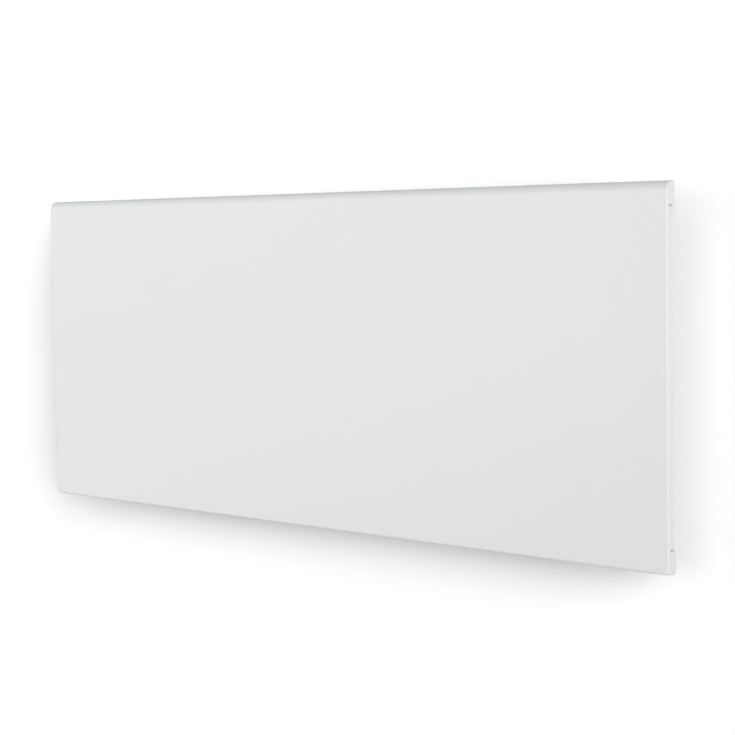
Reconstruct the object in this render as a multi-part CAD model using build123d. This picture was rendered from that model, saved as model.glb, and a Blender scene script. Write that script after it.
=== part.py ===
from build123d import *
import os
from math import cos, pi, radians, sin

# Wall-hung panel heater. Millimetres, +Z up, front towards -Y, wall surface at Y = 0.
# The origin is on the wall, in the middle of the four screw holes of the wall bracket.

# Front panel: one folded sheet with corner ears
PANEL_WIDTH = 1025.0
PANEL_HEIGHT = 400.0
TOTAL_DEPTH = 80.0
PANEL_SHEET = 1.0
TOP_BEND_RADIUS = 10.0
BOTTOM_BEND_RADIUS = 3.5
SIDE_BEND_RADIUS = 2.3
RETURN_DEPTH = 11.0
EAR_DEPTH = 13.0
EAR_HEIGHT = 24.5
EAR_TOP_CORNER = 3.5
EAR_BOTTOM_CORNER = 5.0
SLIT_HEIGHT = 1.4
SLIT_START = 3.5

# Rear casing, its ends and the partition
CASING_SHEET = 0.8
SIDE_OVERHANG = 42.5
CASING_TOP_DROP = 10.0
CASING_FRONT_GAP = 1.0
BRACKET_STANDOFF = 22.0
BOTTOM_LAP = 9.0
FLANGE_WIDTH = 12.0
FLANGE_TOP_DROP = 20.0
FLANGE_RIVET_PITCH = 140.0
FLANGE_RIVET_MARGIN = 40.0
GROOVE_RADIUS = 3.0
GROOVE_END_MARGIN = 60.0
GROOVE_DROPS = (65.0, 105.0)
INLET_SLOT_WIDTH = 5.0
INLET_SLOT_LENGTH = 30.0
INLET_PITCH = 12.0
PARTITION_FRONT_GAP = 1.0

# Rails that carry the front panel
RAIL_SHEET = 1.2
RAIL_FLANGE = 15.0
RAIL_LAP = 16.0
RAIL_END_MARGIN = 70.0
RAIL_SCREW_PITCH = 104.0

# Outlet grille
GRILLE_SLOT_WIDTH = 6.0
GRILLE_SLOT_LENGTH = 34.0
GRILLE_PITCH = 10.0
GRILLE_END_MARGIN = 14.0
GRILLE_LIP = 12.0
GRILLE_GAP = 0.3
GRILLE_FRONT_GAP = 1.2
GRILLE_SCREW_PITCH = 245.0

# Screws and rivets
SCREW_RADIUS = 1.9
SCREW_CLEARANCE = 0.15
SCREW_HEAD_RADIUS = 3.6
SCREW_HEAD_HEIGHT = 2.2
SCREW_LENGTH = 6.0
SMALL_SCREW_RADIUS = 1.2
SMALL_SCREW_HEAD_RADIUS = 2.2
SMALL_SCREW_HEAD_HEIGHT = 1.3
SMALL_SCREW_LENGTH = 8.0
RIVET_RADIUS = 1.6
RIVET_HEAD_RADIUS = 3.1
RIVET_HEAD_HEIGHT = 0.9
RIVET_TAIL_RADIUS = 2.3
RIVET_TAIL_LENGTH = 1.0

# Control unit at the right end
CONTROL_WIDTH = 75.0
CONTROL_RECESS = 5.5
HOUSING_HEIGHT = 63.0
HOUSING_WALL = 2.0
HOUSING_GAP = 0.3
COVER_THICKNESS = 1.5
POST_RADIUS = 3.0
POST_IN_WALL = 0.5
CABLE_OPENING_DEPTH = 14.0
CABLE_OPENING_MARGIN = 5.0
BOARD_THICKNESS = 1.6
BOARD_DROP = 26.0
BOARD_EDGE_GAP = 0.5
BOARD_POST_INSET = 4.0
PAD_FIRST = 6.0
PAD_PITCH = 6.0
RELAY_LENGTH = 16.0
RELAY_WIDTH = 12.0
RELAY_HEIGHT = 13.0
CAPACITOR_RADIUS = 4.0
CAPACITOR_HEIGHT = 14.0
LED_HEIGHT = 4.0
LENS_FROM_SIDE = 41.0
LENS_RADIUS = 1.6
LENS_HEAD_RADIUS = 2.4
LENS_HEAD_HEIGHT = 0.8
POT_SIZE = 16.0
POT_HEIGHT = 7.5
BUSHING_RADIUS = 4.5
BUSHING_HEIGHT = 12.0
SHAFT_RADIUS = 3.0
SHAFT_CLEARANCE = 0.05
SHAFT_COVER_CLEARANCE = 0.5
KNOB_FROM_SIDE = 24.0
KNOB_SKIRT_RADIUS = 13.0
KNOB_SKIRT_HEIGHT = 2.4
KNOB_GRIP_RADIUS = 10.2
KNOB_HEIGHT = 13.0
KNOB_GAP = 0.5
KNOB_BORE_DEPTH = 9.0
KNOB_FLUTES = 20
KNOB_FLUTE_RADIUS = 0.8
KNOB_MARK_WIDTH = 1.2
SWITCH_FROM_SIDE = 56.0
SWITCH_BEZEL_RIM = 1.0
SWITCH_BEZEL_HEIGHT = 2.0
SWITCH_DEPTH = 15.0
SWITCH_WALL = 1.0
SWITCH_TAB_LENGTH = 8.0
SWITCH_TAB_SPACING = 10.0
SWITCH_TAB_WIDTH = 4.8
TAB_THICKNESS = 0.8
ROCKER_LENGTH = 16.0
ROCKER_WIDTH = 10.0
ROCKER_GAP = 0.5
ROCKER_SINK = 1.8
ROCKER_DIP = 1.4
ROCKER_EDGE_RISE = 3.0
ROCKER_DEPTH = 4.0
ROCKER_TILT = 10.0
TRUNNION_RADIUS = 1.0
TRUNNION_LENGTH = 1.3

# Heating element
ELEMENT_LEFT_MARGIN = 85.0
ELEMENT_RIGHT_MARGIN = 52.0
ELEMENT_RISE = 90.0
ELEMENT_DEPTH = 30.0
ELEMENT_TALL = 62.0
ELEMENT_WING_STRAIGHT = 14.0
FIN_THICKNESS = 1.6
CORE_RADIUS = 7.0
ROD_RADIUS = 4.0
BUSH_RADIUS = 6.0
BUSH_COLLAR_RADIUS = 8.5
BUSH_LENGTH = 16.0
BUSH_COLLAR = 3.0
BUSH_FIT = 0.15
ROD_OVERRUN = 3.0
TERMINAL_LENGTH = 10.0
TERMINAL_RADIUS = 2.0
TERMINAL_NUT_RADIUS = 3.5
TERMINAL_NUT_LENGTH = 3.0
BRACKET_SHEET = 1.0
ELEMENT_END_GAP = 16.0
ELEMENT_BRACKET_HEIGHT = 84.0
ELEMENT_BRACKET_NOSE = 11.5
ELEMENT_RIVET_INSET = 12.0
CRADLE_WIDTH = 20.0
CRADLE_SHEET = 1.2
CRADLE_GAP = 0.3
SHIELD_SHEET = 0.5
SHIELD_END_GAP = 8.0
SHIELD_LIP = 8.0
REAR_SHIELD_GAP = 7.5
REAR_SHIELD_BELOW = 48.0
REAR_SHIELD_ABOVE = 160.0
FRONT_SHIELD_GAP = 8.5
FRONT_SHIELD_BELOW = 62.0
FRONT_SHIELD_ABOVE = 150.0
SHIELD_RIVET_INSET = 30.0

# Wiring compartment below the control unit
GLAND_RISE = 48.0
GLAND_THREAD_RADIUS = 8.0
GLAND_BORE_RADIUS = 4.0
GLAND_SEAL_RADIUS = 6.0
GLAND_HEX = 21.0
GLAND_HEX_THICKNESS = 5.0
GLAND_INSIDE = 11.0
GLAND_OUTSIDE = 7.0
GLAND_SEAL_INSET = 3.0
GLAND_CAP_RADIUS = 9.6
GLAND_CAP_WALL = 4.0
GLAND_CAP_RIBS = 12
LOCKNUT_THICKNESS = 4.5
POLES = 4
POLE_PITCH = 10.0
BLOCK_HEIGHT = 22.0
BLOCK_DEPTH = 16.0
BLOCK_RISE = 88.0
POLE_SCREW_RADIUS = 2.4
POLE_SCREW_DEPTH = 6.0
POLE_WIRE_DEPTH = 5.0
SUPPLY_HOLE_RADIUS = 1.9
EARTH_ABOVE_BLOCK = 46.0
EARTH_STUD_RADIUS = 2.0
EARTH_COLLAR_RADIUS = 4.0
EARTH_NUT_THICKNESS = 3.2
EARTH_TAG_WIDTH = 8.0
CUTOUT_RISE = 162.0
CUTOUT_RADIUS = 7.5
CUTOUT_FLANGE_RADIUS = 11.0
CUTOUT_NOSE = 5.0
CUTOUT_BASE = 4.0
CUTOUT_TAB_LENGTH = 5.0
CUTOUT_TAB_SPACING = 8.0
SENSOR_RISE = 24.0
SENSOR_RADIUS = 2.5
SENSOR_LENGTH = 14.0
SENSOR_CLIP_SIZE = 8.0
SENSOR_FORWARD = 16.0
WIRE_RADIUS = 1.3
WIRE_HOLE_CLEARANCE = 0.6
WIRE_BEND = 4.0
LOW_WIRE_RISE = 10.0
WIRE_SIDE_CLEARANCE = 2.0
PLATE_WIDTH = 60.0
PLATE_HEIGHT = 30.0
PLATE_THICKNESS = 0.4
PLATE_FROM_END = 75.0
PLATE_RISE = 150.0

# Hanging lugs, pivot pins and catch pegs on the back of the casing
HANG_SPACING = 560.0
PIVOT_STANDOFF = 11.0
PIVOT_RISE = 35.0
PIN_RADIUS = 3.0
PIN_CLEARANCE = 0.08
PIN_HEAD_RADIUS = 4.2
PIN_HEAD_LENGTH = 1.2
LUG_SHEET = 1.5
LUG_SIDE_GAP = 1.0
LUG_HEIGHT = 38.0
LUG_RIVET_SPACING = 24.0
LUG_EAR_ROUND = 5.0
LUG_TAIL_DROP = 15.0
TILT_LIMIT = 20.0
TILT_STOP_GAP = 0.3
PEG_DROP = 54.0
PEG_SHANK_RADIUS = 3.0
PEG_HEAD_RADIUS = 4.6
PEG_FOOT_RADIUS = 8.0
PEG_FOOT_THICKNESS = 1.5
PEG_LENGTH = 14.0
PEG_HEAD_LENGTH = 5.0

# Wall bracket
UPRIGHT_WIDTH = 40.0
UPRIGHT_SHEET = 1.5
UPRIGHT_FRONT_GAP = 3.5
UPRIGHT_ABOVE_PEG = 18.0
WALL_SCREW_DROP = 24.0
WALL_SCREW_RADIUS = 3.25
HOOK_LIP_RISE = 4.0
HOOK_MOUTH = 9.0
CROSS_RAIL_DROP = 40.0
CROSS_RAIL_SHEET = 1.2
CROSS_RAIL_HEIGHT = 26.0
CROSS_RAIL_LIP = 9.0
CROSS_RAIL_TAB = 14.0
CLIP_SHEET = 0.7
CLIP_HEIGHT = 12.0
CLIP_HALF_WIDTH = 9.0
CLIP_GAP = 0.3
CLIP_BEND = 1.2
CLIP_NECK_STEP = 3.0
CLIP_FLARE = 3.0
BUFFER_RADIUS = 6.0
BUFFER_DROP = 18.0
BUFFER_GAP = 0.3

# Planes and edges that several pieces share
half_width = PANEL_WIDTH / 2
half_height = PANEL_HEIGHT / 2
front_y = -TOTAL_DEPTH
panel_inner_y = front_y + PANEL_SHEET
ear_rear_y = front_y + EAR_DEPTH
casing_front_y = ear_rear_y + CASING_FRONT_GAP
casing_back_y = -BRACKET_STANDOFF
casing_inner_y = casing_back_y - CASING_SHEET
casing_half = half_width - SIDE_OVERHANG
casing_inner_x = casing_half - CASING_SHEET
casing_top = half_height - CASING_TOP_DROP
floor_bottom = -half_height + PANEL_SHEET
floor_top = floor_bottom + CASING_SHEET
flange_top = casing_top - FLANGE_TOP_DROP
flange_y = casing_inner_y - CASING_SHEET
partition_right = casing_inner_x - CONTROL_WIDTH
partition_left = partition_right - CASING_SHEET
end_rivet_x = casing_inner_x - FLANGE_WIDTH / 2
partition_rivet_x = partition_left - FLANGE_WIDTH / 2
mid_y = (casing_front_y + casing_inner_y) / 2
rail_half = half_height - RAIL_END_MARGIN
rail_screw_y = casing_front_y + RAIL_LAP / 2
grille_left = -casing_inner_x + GRILLE_GAP
grille_right = partition_left - GRILLE_GAP
grille_mid_x = (grille_left + grille_right) / 2
grille_screw_z = casing_top - CASING_SHEET - (GRILLE_LIP - CASING_SHEET) / 2

# The control unit
control_top = casing_top - CONTROL_RECESS
cover_bottom = control_top - COVER_THICKNESS
housing_bottom = cover_bottom - HOUSING_HEIGHT
housing_left = partition_right
housing_right = casing_inner_x - (SCREW_LENGTH - RAIL_SHEET - CASING_SHEET) - HOUSING_GAP
housing_front = casing_front_y
housing_back = flange_y - RIVET_TAIL_LENGTH - HOUSING_GAP
knob_x = casing_inner_x - KNOB_FROM_SIDE
switch_x = casing_inner_x - SWITCH_FROM_SIDE
lens_x = casing_inner_x - LENS_FROM_SIDE
board_top = cover_bottom - BOARD_DROP
board_bottom = board_top - BOARD_THICKNESS
board_left = switch_x + ROCKER_WIDTH / 2 + ROCKER_GAP + SWITCH_WALL + SWITCH_BEZEL_RIM + HOUSING_WALL
board_right = housing_right - HOUSING_WALL - 2 * POST_RADIUS - BOARD_EDGE_GAP
board_front = housing_front + HOUSING_WALL + BOARD_EDGE_GAP
board_back = housing_back - HOUSING_WALL - BOARD_EDGE_GAP
knob_bottom = control_top + KNOB_GAP
switch_half_x = ROCKER_WIDTH / 2 + ROCKER_GAP + SWITCH_WALL
switch_half_y = ROCKER_LENGTH / 2 + ROCKER_GAP + SWITCH_WALL
switch_bottom = control_top + SWITCH_BEZEL_HEIGHT - SWITCH_DEPTH
switch_tab_bottom = switch_bottom - SWITCH_TAB_LENGTH
rocker_z = control_top + SWITCH_BEZEL_HEIGHT - ROCKER_SINK

# The heating element and its shields
element_left = -casing_inner_x + ELEMENT_LEFT_MARGIN
element_right = partition_left - ELEMENT_RIGHT_MARGIN
element_mid_x = (element_left + element_right) / 2
element_z = -half_height + ELEMENT_RISE
rear_shield_y = casing_inner_y - REAR_SHIELD_GAP
front_shield_y = panel_inner_y + FRONT_SHIELD_GAP
element_y = (rear_shield_y + front_shield_y) / 2
element_bracket_x = element_right + ELEMENT_END_GAP
rod_end = element_bracket_x - BUSH_COLLAR + BUSH_LENGTH + ROD_OVERRUN
terminal_end = rod_end + TERMINAL_LENGTH
terminal_end_left = 2 * element_mid_x - terminal_end

# The wiring compartment
gland_y = mid_y
gland_z = -half_height + GLAND_RISE
block_x = switch_x + POLE_PITCH * (POLES - 1) / 2
block_z = -half_height + BLOCK_RISE
block_top = block_z + BLOCK_HEIGHT / 2
block_front = casing_inner_y - BLOCK_DEPTH
pole_y = casing_inner_y - BLOCK_DEPTH / 2
earth_z = block_z + EARTH_ABOVE_BLOCK
cutout_z = -half_height + CUTOUT_RISE
cutout_tab_x = partition_right + CASING_SHEET + CUTOUT_BASE + CUTOUT_TAB_LENGTH
sensor_x = partition_right + SENSOR_CLIP_SIZE / 2
sensor_y = mid_y - SENSOR_FORWARD
sensor_z = -half_height + SENSOR_RISE
low_wire_z = floor_top + LOW_WIRE_RISE

# The hanging hardware
hang_half = HANG_SPACING / 2
pivot_y = casing_back_y + PIVOT_STANDOFF
pivot_z = -half_height + PIVOT_RISE
peg_z = half_height - PEG_DROP
lug_inner = UPRIGHT_WIDTH / 2 + LUG_SIDE_GAP
lug_outer = lug_inner + LUG_SHEET
upright_front_y = casing_back_y + UPRIGHT_FRONT_GAP
upright_bottom = pivot_z - (pivot_y - upright_front_y)
upright_top = peg_z + UPRIGHT_ABOVE_PEG
wall_screw_z = peg_z - WALL_SCREW_DROP
cross_rail_z = wall_screw_z - CROSS_RAIL_DROP
buffer_z = wall_screw_z - BUFFER_DROP
shield_rivet_x = hang_half - lug_outer - SHIELD_RIVET_INSET


def block(x0, x1, y0, y1, z0, z1):
    """Box between two corners, given in any order."""
    size = (abs(x1 - x0), abs(y1 - y0), abs(z1 - z0))
    return Pos((x0 + x1) / 2, (y0 + y1) / 2, (z0 + z1) / 2) * Box(*size)


def round_x(x0, x1, y, z, radius):
    """Cylinder along X."""
    return Pos((x0 + x1) / 2, y, z) * Rot(0, 90, 0) * Cylinder(radius, abs(x1 - x0))


def round_y(x, y0, y1, z, radius):
    """Cylinder along Y."""
    return Pos(x, (y0 + y1) / 2, z) * Rot(90, 0, 0) * Cylinder(radius, abs(y1 - y0))


def round_z(x, y, z0, z1, radius):
    """Cylinder along Z."""
    return Pos(x, y, (z0 + z1) / 2) * Cylinder(radius, abs(z1 - z0))


def plate_yz(sketch, x0, x1):
    """Extrudes a sketch drawn in Y and Z from x0 to x1."""
    return extrude(Plane.YZ.offset(x0) * sketch, amount=x1 - x0)


def mirror_x(shape, about_x=0):
    """Copy mirrored left to right, about a plane at about_x."""
    return mirror(shape, about=Plane.YZ.offset(about_x))


def spread(pitch, run):
    """Centres of a row of copies, a pitch apart, that fits a run about zero."""
    count = int(run // pitch) + 1
    return [(i - (count - 1) / 2) * pitch for i in range(count)]


def tube(points, radius=WIRE_RADIUS, bend=WIRE_BEND):
    """Wire along straight runs joined by tangent arcs."""
    path = FilletPolyline(*points, radius=bend) if len(points) > 2 else Line(*points)
    start = Plane(origin=path @ 0, z_dir=path % 0)
    return sweep(start * Circle(radius), path=path)


def screw(length=SCREW_LENGTH, radius=SCREW_RADIUS, head=SCREW_HEAD_RADIUS, height=SCREW_HEAD_HEIGHT):
    """Pan-head screw along Z: head above zero, shank below."""
    top = Pos(0, 0, height / 2) * Cylinder(head, height)
    top = fillet(top.edges().group_by(Axis.Z)[-1], height * 0.45)
    cross = Pos(0, 0, height) * (Box(head, head / 5, height) + Box(head / 5, head, height))
    return top - cross + Pos(0, 0, -length / 2) * Cylinder(radius, length)


def small_screw():
    return screw(SMALL_SCREW_LENGTH, SMALL_SCREW_RADIUS, SMALL_SCREW_HEAD_RADIUS, SMALL_SCREW_HEAD_HEIGHT)


def rivet(grip, tail=True):
    """Blind rivet along Z: dome above zero, shank and set end below."""
    dome = Pos(0, 0, RIVET_HEAD_HEIGHT / 2) * Cylinder(RIVET_HEAD_RADIUS, RIVET_HEAD_HEIGHT)
    dome = fillet(dome.edges().group_by(Axis.Z)[-1], RIVET_HEAD_HEIGHT * 0.7)
    body = dome + Pos(0, 0, -grip / 2) * Cylinder(RIVET_RADIUS, grip)
    if tail:
        body += Pos(0, 0, -grip - RIVET_TAIL_LENGTH / 2) * Cylinder(RIVET_TAIL_RADIUS, RIVET_TAIL_LENGTH)
    return body


to_back = Rot(-90, 0, 0)
to_right = Rot(0, 90, 0)
to_left = Rot(0, -90, 0)
to_front = Rot(90, 0, 0)


# Front panel

def panel_block(inset, rear_y):
    """Solid form of the front panel, inset all round, ending at rear_y."""
    y0 = front_y + inset
    z0 = -half_height + inset
    z1 = half_height - inset
    top_r = TOP_BEND_RADIUS - inset
    low_r = BOTTOM_BEND_RADIUS - inset
    outline = Polyline((y0, z0 + low_r), (y0, z1 - top_r))
    outline += RadiusArc((y0, z1 - top_r), (y0 + top_r, z1), top_r)
    outline += Polyline((y0 + top_r, z1), (rear_y, z1), (rear_y, z0), (y0 + low_r, z0))
    outline += RadiusArc((y0 + low_r, z0), (y0, z0 + low_r), low_r)
    half = half_width - inset
    body = plate_yz(make_face(outline), -half, half)
    rim = [
        edge for edge in body.edges()
        if abs(abs(edge.center().X) - half) < 1e-3 and edge.center().Y < rear_y - 1e-3
    ]
    return fillet(rim, SIDE_BEND_RADIUS - inset)


def ear_corner(radius, side):
    """Waste that rounds the ears' rear corners at the top, side 1, or the bottom, side -1."""
    reach = half_width + 1
    y0 = ear_rear_y - radius
    z0 = side * (half_height - radius)
    waste = block(-reach, reach, y0, ear_rear_y + 1, z0, side * (half_height + 1))
    return waste - round_x(-reach - 1, reach + 1, y0, z0, radius)


def front_panel():
    shell = panel_block(0, ear_rear_y) - panel_block(PANEL_SHEET, ear_rear_y + EAR_DEPTH)
    reach = half_width + 1
    shoulder = half_height - EAR_HEIGHT
    waste = block(-reach, reach, front_y + RETURN_DEPTH, ear_rear_y + 1, -shoulder, shoulder)
    for side in (-1, 1):
        waste += block(
            -reach, reach, front_y + SLIT_START, ear_rear_y + 1,
            side * shoulder, side * (shoulder - SLIT_HEIGHT),
        )
    waste += ear_corner(EAR_TOP_CORNER, 1)
    waste += ear_corner(EAR_BOTTOM_CORNER, -1)
    kept = half_width - PANEL_SHEET
    return shell - (waste - block(-kept, kept, front_y, 0, -half_height, half_height))


def rail_screw_heights():
    return spread(RAIL_SCREW_PITCH, 2 * rail_half - 2 * SCREW_HEAD_RADIUS)


def panel_rail():
    """Right-hand rail: its flange lies on the front sheet, its web on the casing end."""
    flange = block(
        casing_half, casing_half + RAIL_FLANGE,
        panel_inner_y, panel_inner_y + RAIL_SHEET, -rail_half, rail_half,
    )
    web = block(
        casing_half, casing_half + RAIL_SHEET,
        panel_inner_y, casing_front_y + RAIL_LAP, -rail_half, rail_half,
    )
    rail = flange + web
    for z in rail_screw_heights():
        rail -= round_x(
            casing_half, casing_half + RAIL_SHEET, rail_screw_y, z, SCREW_RADIUS + SCREW_CLEARANCE,
        )
    return rail


# Rear casing

def flange_rivet_heights():
    return spread(FLANGE_RIVET_PITCH, flange_top - floor_top - FLANGE_RIVET_MARGIN)


def grille_screw_places():
    run = grille_right - grille_left - 2 * GRILLE_END_MARGIN
    return [grille_mid_x + x for x in spread(GRILLE_SCREW_PITCH, run)]


def lug_rivet_places():
    half = LUG_RIVET_SPACING / 2
    return [(side * hang_half, pivot_z + step) for side in (-1, 1) for step in (-half, half)]


def bracket_rivet_places():
    """Rivets of the two element brackets' feet."""
    right = element_bracket_x + BRACKET_SHEET + FLANGE_WIDTH / 2
    step = ELEMENT_BRACKET_HEIGHT / 2 - ELEMENT_RIVET_INSET
    return [(x, element_z + z) for x in (right, 2 * element_mid_x - right) for z in (-step, step)]


def shield_rivet_places():
    low = element_z - REAR_SHIELD_BELOW - SHIELD_LIP / 2
    high = element_z + REAR_SHIELD_ABOVE + SHIELD_LIP / 2
    return [(x, z) for x in (-shield_rivet_x, 0, shield_rivet_x) for z in (low, high)]


def back_rivets():
    """Place, grip and head plane of each rivet through the casing's back."""
    rows = []
    for x in (-end_rivet_x, partition_rivet_x, end_rivet_x):
        rows += [(x, z, 2 * CASING_SHEET, casing_back_y) for z in flange_rivet_heights()]
    rows += [(x, z, CASING_SHEET + BRACKET_SHEET, casing_back_y) for x, z in bracket_rivet_places()]
    rows += [(x, z, CASING_SHEET + SHIELD_SHEET, casing_back_y) for x, z in shield_rivet_places()]
    rows += [(x, z, CASING_SHEET + LUG_SHEET, casing_back_y + LUG_SHEET) for x, z in lug_rivet_places()]
    return rows


def stiffening_groove(z, radius):
    """Long round-ended form along the casing's back, left of the partition."""
    ends = (GROOVE_END_MARGIN - casing_half, partition_left - GROOVE_END_MARGIN)
    bar = round_x(*ends, casing_back_y, z, radius)
    for x in ends:
        bar += Pos(x, casing_back_y, z) * Sphere(radius)
    return bar


def rear_casing():
    casing = block(
        -casing_inner_x, casing_inner_x, casing_inner_y, casing_back_y, floor_bottom, casing_top,
    )
    casing += block(
        -casing_inner_x, casing_inner_x, ear_rear_y - BOTTOM_LAP, casing_inner_y, floor_bottom, floor_top,
    )
    inside = block(
        -half_width, half_width, casing_inner_y - 3 * GROOVE_RADIUS, casing_back_y, floor_bottom, casing_top,
    )
    for drop in GROOVE_DROPS:
        casing += stiffening_groove(casing_top - drop, GROOVE_RADIUS + CASING_SHEET) & inside
        casing -= stiffening_groove(casing_top - drop, GROOVE_RADIUS)
    half = INLET_SLOT_LENGTH / 2
    slots = [
        block(
            element_mid_x + x - INLET_SLOT_WIDTH / 2, element_mid_x + x + INLET_SLOT_WIDTH / 2,
            mid_y - half, mid_y + half, floor_bottom - 1, floor_top + 1,
        )
        for x in spread(INLET_PITCH, element_right - element_left)
    ]
    holes = [
        round_y(x, casing_inner_y - 1, casing_back_y + 1, grille_screw_z, SCREW_RADIUS + SCREW_CLEARANCE)
        for x in grille_screw_places()
    ]
    holes += [
        round_y(x, casing_inner_y - 1, casing_back_y + 1, z, RIVET_RADIUS)
        for x, z, _, _ in back_rivets()
    ]
    holes += [
        round_y(x, casing_inner_y - 1, casing_back_y + 1, peg_z, PEG_SHANK_RADIUS)
        for x in (-hang_half, hang_half)
    ]
    return casing - slots - holes


def casing_end(with_inlet):
    """Right-hand end: a web across X, with flanges on the casing's back and floor."""
    end = block(casing_inner_x, casing_half, casing_front_y, casing_back_y, floor_bottom, casing_top)
    end += block(
        casing_inner_x - FLANGE_WIDTH, casing_inner_x, flange_y, casing_inner_y, floor_top, flange_top,
    )
    end += block(
        casing_inner_x - FLANGE_WIDTH, casing_inner_x,
        casing_front_y, flange_y, floor_top, floor_top + CASING_SHEET,
    )
    for z in rail_screw_heights():
        end -= round_x(casing_inner_x - 1, casing_half + 1, rail_screw_y, z, SCREW_RADIUS)
    for z in flange_rivet_heights():
        end -= round_y(end_rivet_x, flange_y - 1, casing_inner_y, z, RIVET_RADIUS)
    if with_inlet:
        end -= round_x(casing_inner_x - 1, casing_half + 1, gland_y, gland_z, GLAND_THREAD_RADIUS)
    return end


def housing_screw_places():
    """Screws through the partition into the control housing."""
    step = HOUSING_HEIGHT / 4
    centre = (housing_bottom + cover_bottom) / 2
    return [(mid_y, centre - step), (mid_y, centre + step)]


def partition():
    wall = block(
        partition_left, partition_right,
        panel_inner_y + PARTITION_FRONT_GAP, casing_inner_y, floor_top, casing_top,
    )
    wall += block(
        partition_left - FLANGE_WIDTH, partition_left, flange_y, casing_inner_y, floor_top, flange_top,
    )
    for z in flange_rivet_heights():
        wall -= round_y(partition_rivet_x, flange_y - 1, casing_inner_y, z, RIVET_RADIUS)
    x0 = partition_left - 1
    x1 = partition_right + 1
    wall -= round_x(x0, x1, mid_y, cutout_z, CUTOUT_RADIUS)
    for z in (element_z, low_wire_z):
        wall -= round_x(x0, x1, element_y, z, WIRE_RADIUS + WIRE_HOLE_CLEARANCE)
    for y, z in housing_screw_places():
        wall -= round_x(x0, x1, y, z, SMALL_SCREW_RADIUS)
    return wall


def outlet_grille():
    y0 = panel_inner_y + GRILLE_FRONT_GAP
    plate = block(grille_left, grille_right, y0, casing_inner_y, casing_top - CASING_SHEET, casing_top)
    for y in (y0, casing_inner_y - CASING_SHEET):
        plate += block(grille_left, grille_right, y, y + CASING_SHEET, casing_top - GRILLE_LIP, casing_top)
    centre = (y0 + casing_inner_y) / 2
    half = GRILLE_SLOT_LENGTH / 2
    slots = [
        block(
            grille_mid_x + x - GRILLE_SLOT_WIDTH / 2, grille_mid_x + x + GRILLE_SLOT_WIDTH / 2,
            centre - half, centre + half, casing_top - 2 * CASING_SHEET, casing_top + 1,
        )
        for x in spread(GRILLE_PITCH, grille_right - grille_left - 2 * GRILLE_END_MARGIN)
    ]
    holes = [
        round_y(x, flange_y - 1, casing_inner_y + 1, grille_screw_z, SCREW_RADIUS)
        for x in grille_screw_places()
    ]
    return plate - slots - holes


def casing_screws():
    right = [
        Pos(casing_half + RAIL_SHEET, rail_screw_y, z) * to_right * screw() for z in rail_screw_heights()
    ]
    screws = right + [mirror_x(piece) for piece in right]
    screws += [Pos(x, casing_back_y, grille_screw_z) * to_back * screw() for x in grille_screw_places()]
    return screws


def casing_rivets():
    return [Pos(x, head_y, z) * to_back * rivet(grip) for x, z, grip, head_y in back_rivets()]


def rating_plate():
    """Bare plate on the back of the casing."""
    x1 = casing_half - PLATE_FROM_END
    z0 = -half_height + PLATE_RISE
    return block(
        x1 - PLATE_WIDTH, x1, casing_back_y, casing_back_y + PLATE_THICKNESS, z0, z0 + PLATE_HEIGHT,
    )


# Heating element and shields

def channel(x0, x1, web_y, seat_y, z0, z1):
    """Shield with its web at web_y, edges folded to seat_y and lips turned out there."""
    side = 1 if seat_y > web_y else -1
    sheet = side * SHIELD_SHEET
    body = block(x0, x1, web_y, web_y + sheet, z0, z1)
    for z, out in ((z0, -1), (z1, 1)):
        body += block(x0, x1, web_y, seat_y, z, z - out * SHIELD_SHEET)
        body += block(x0, x1, seat_y - sheet, seat_y, z, z + out * SHIELD_LIP)
    return body


def rear_heat_shield():
    x0 = element_left - SHIELD_END_GAP
    x1 = element_right + SHIELD_END_GAP
    shield = channel(
        x0, x1, rear_shield_y, casing_inner_y, element_z - REAR_SHIELD_BELOW, element_z + REAR_SHIELD_ABOVE,
    )
    holes = [
        round_y(x, casing_inner_y - 1, casing_inner_y, z, RIVET_RADIUS) for x, z in shield_rivet_places()
    ]
    holes += [
        round_y(element_mid_x, rear_shield_y - 1, rear_shield_y + 1, z, RIVET_RADIUS)
        for z in cradle_rivet_heights()
    ]
    return shield - holes


def front_heat_shield():
    x0 = element_left - SHIELD_END_GAP
    x1 = element_right + SHIELD_END_GAP
    return channel(
        x0, x1, front_shield_y, panel_inner_y, element_z - FRONT_SHIELD_BELOW, element_z + FRONT_SHIELD_ABOVE,
    )


def element_profile():
    """Extruded cross with a round core and four wings that turn up and down."""
    half_y = ELEMENT_DEPTH / 2 - FIN_THICKNESS / 2
    half_z = ELEMENT_TALL / 2
    turn_z = half_z - ELEMENT_WING_STRAIGHT
    section = Sketch() + Circle(CORE_RADIUS) + Rectangle(FIN_THICKNESS, ELEMENT_TALL)
    for side in (-1, 1):
        for up in (-1, 1):
            wing = Polyline((0, 0), (side * half_y, up * turn_z), (side * half_y, up * half_z))
            section += trace(wing, FIN_THICKNESS)
    section -= Circle(ROD_RADIUS)
    return plate_yz(Pos(element_y, element_z) * section, element_left, element_right)


def element_rod():
    return round_x(2 * element_mid_x - rod_end, rod_end, element_y, element_z, ROD_RADIUS)


def element_bush():
    """Right-hand insulator, its collar against the bracket."""
    x0 = element_bracket_x - BUSH_COLLAR
    bush = round_x(x0, x0 + BUSH_LENGTH, element_y, element_z, BUSH_RADIUS)
    bush += round_x(x0, element_bracket_x, element_y, element_z, BUSH_COLLAR_RADIUS)
    return bush - round_x(x0, x0 + BUSH_LENGTH, element_y, element_z, ROD_RADIUS)


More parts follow.
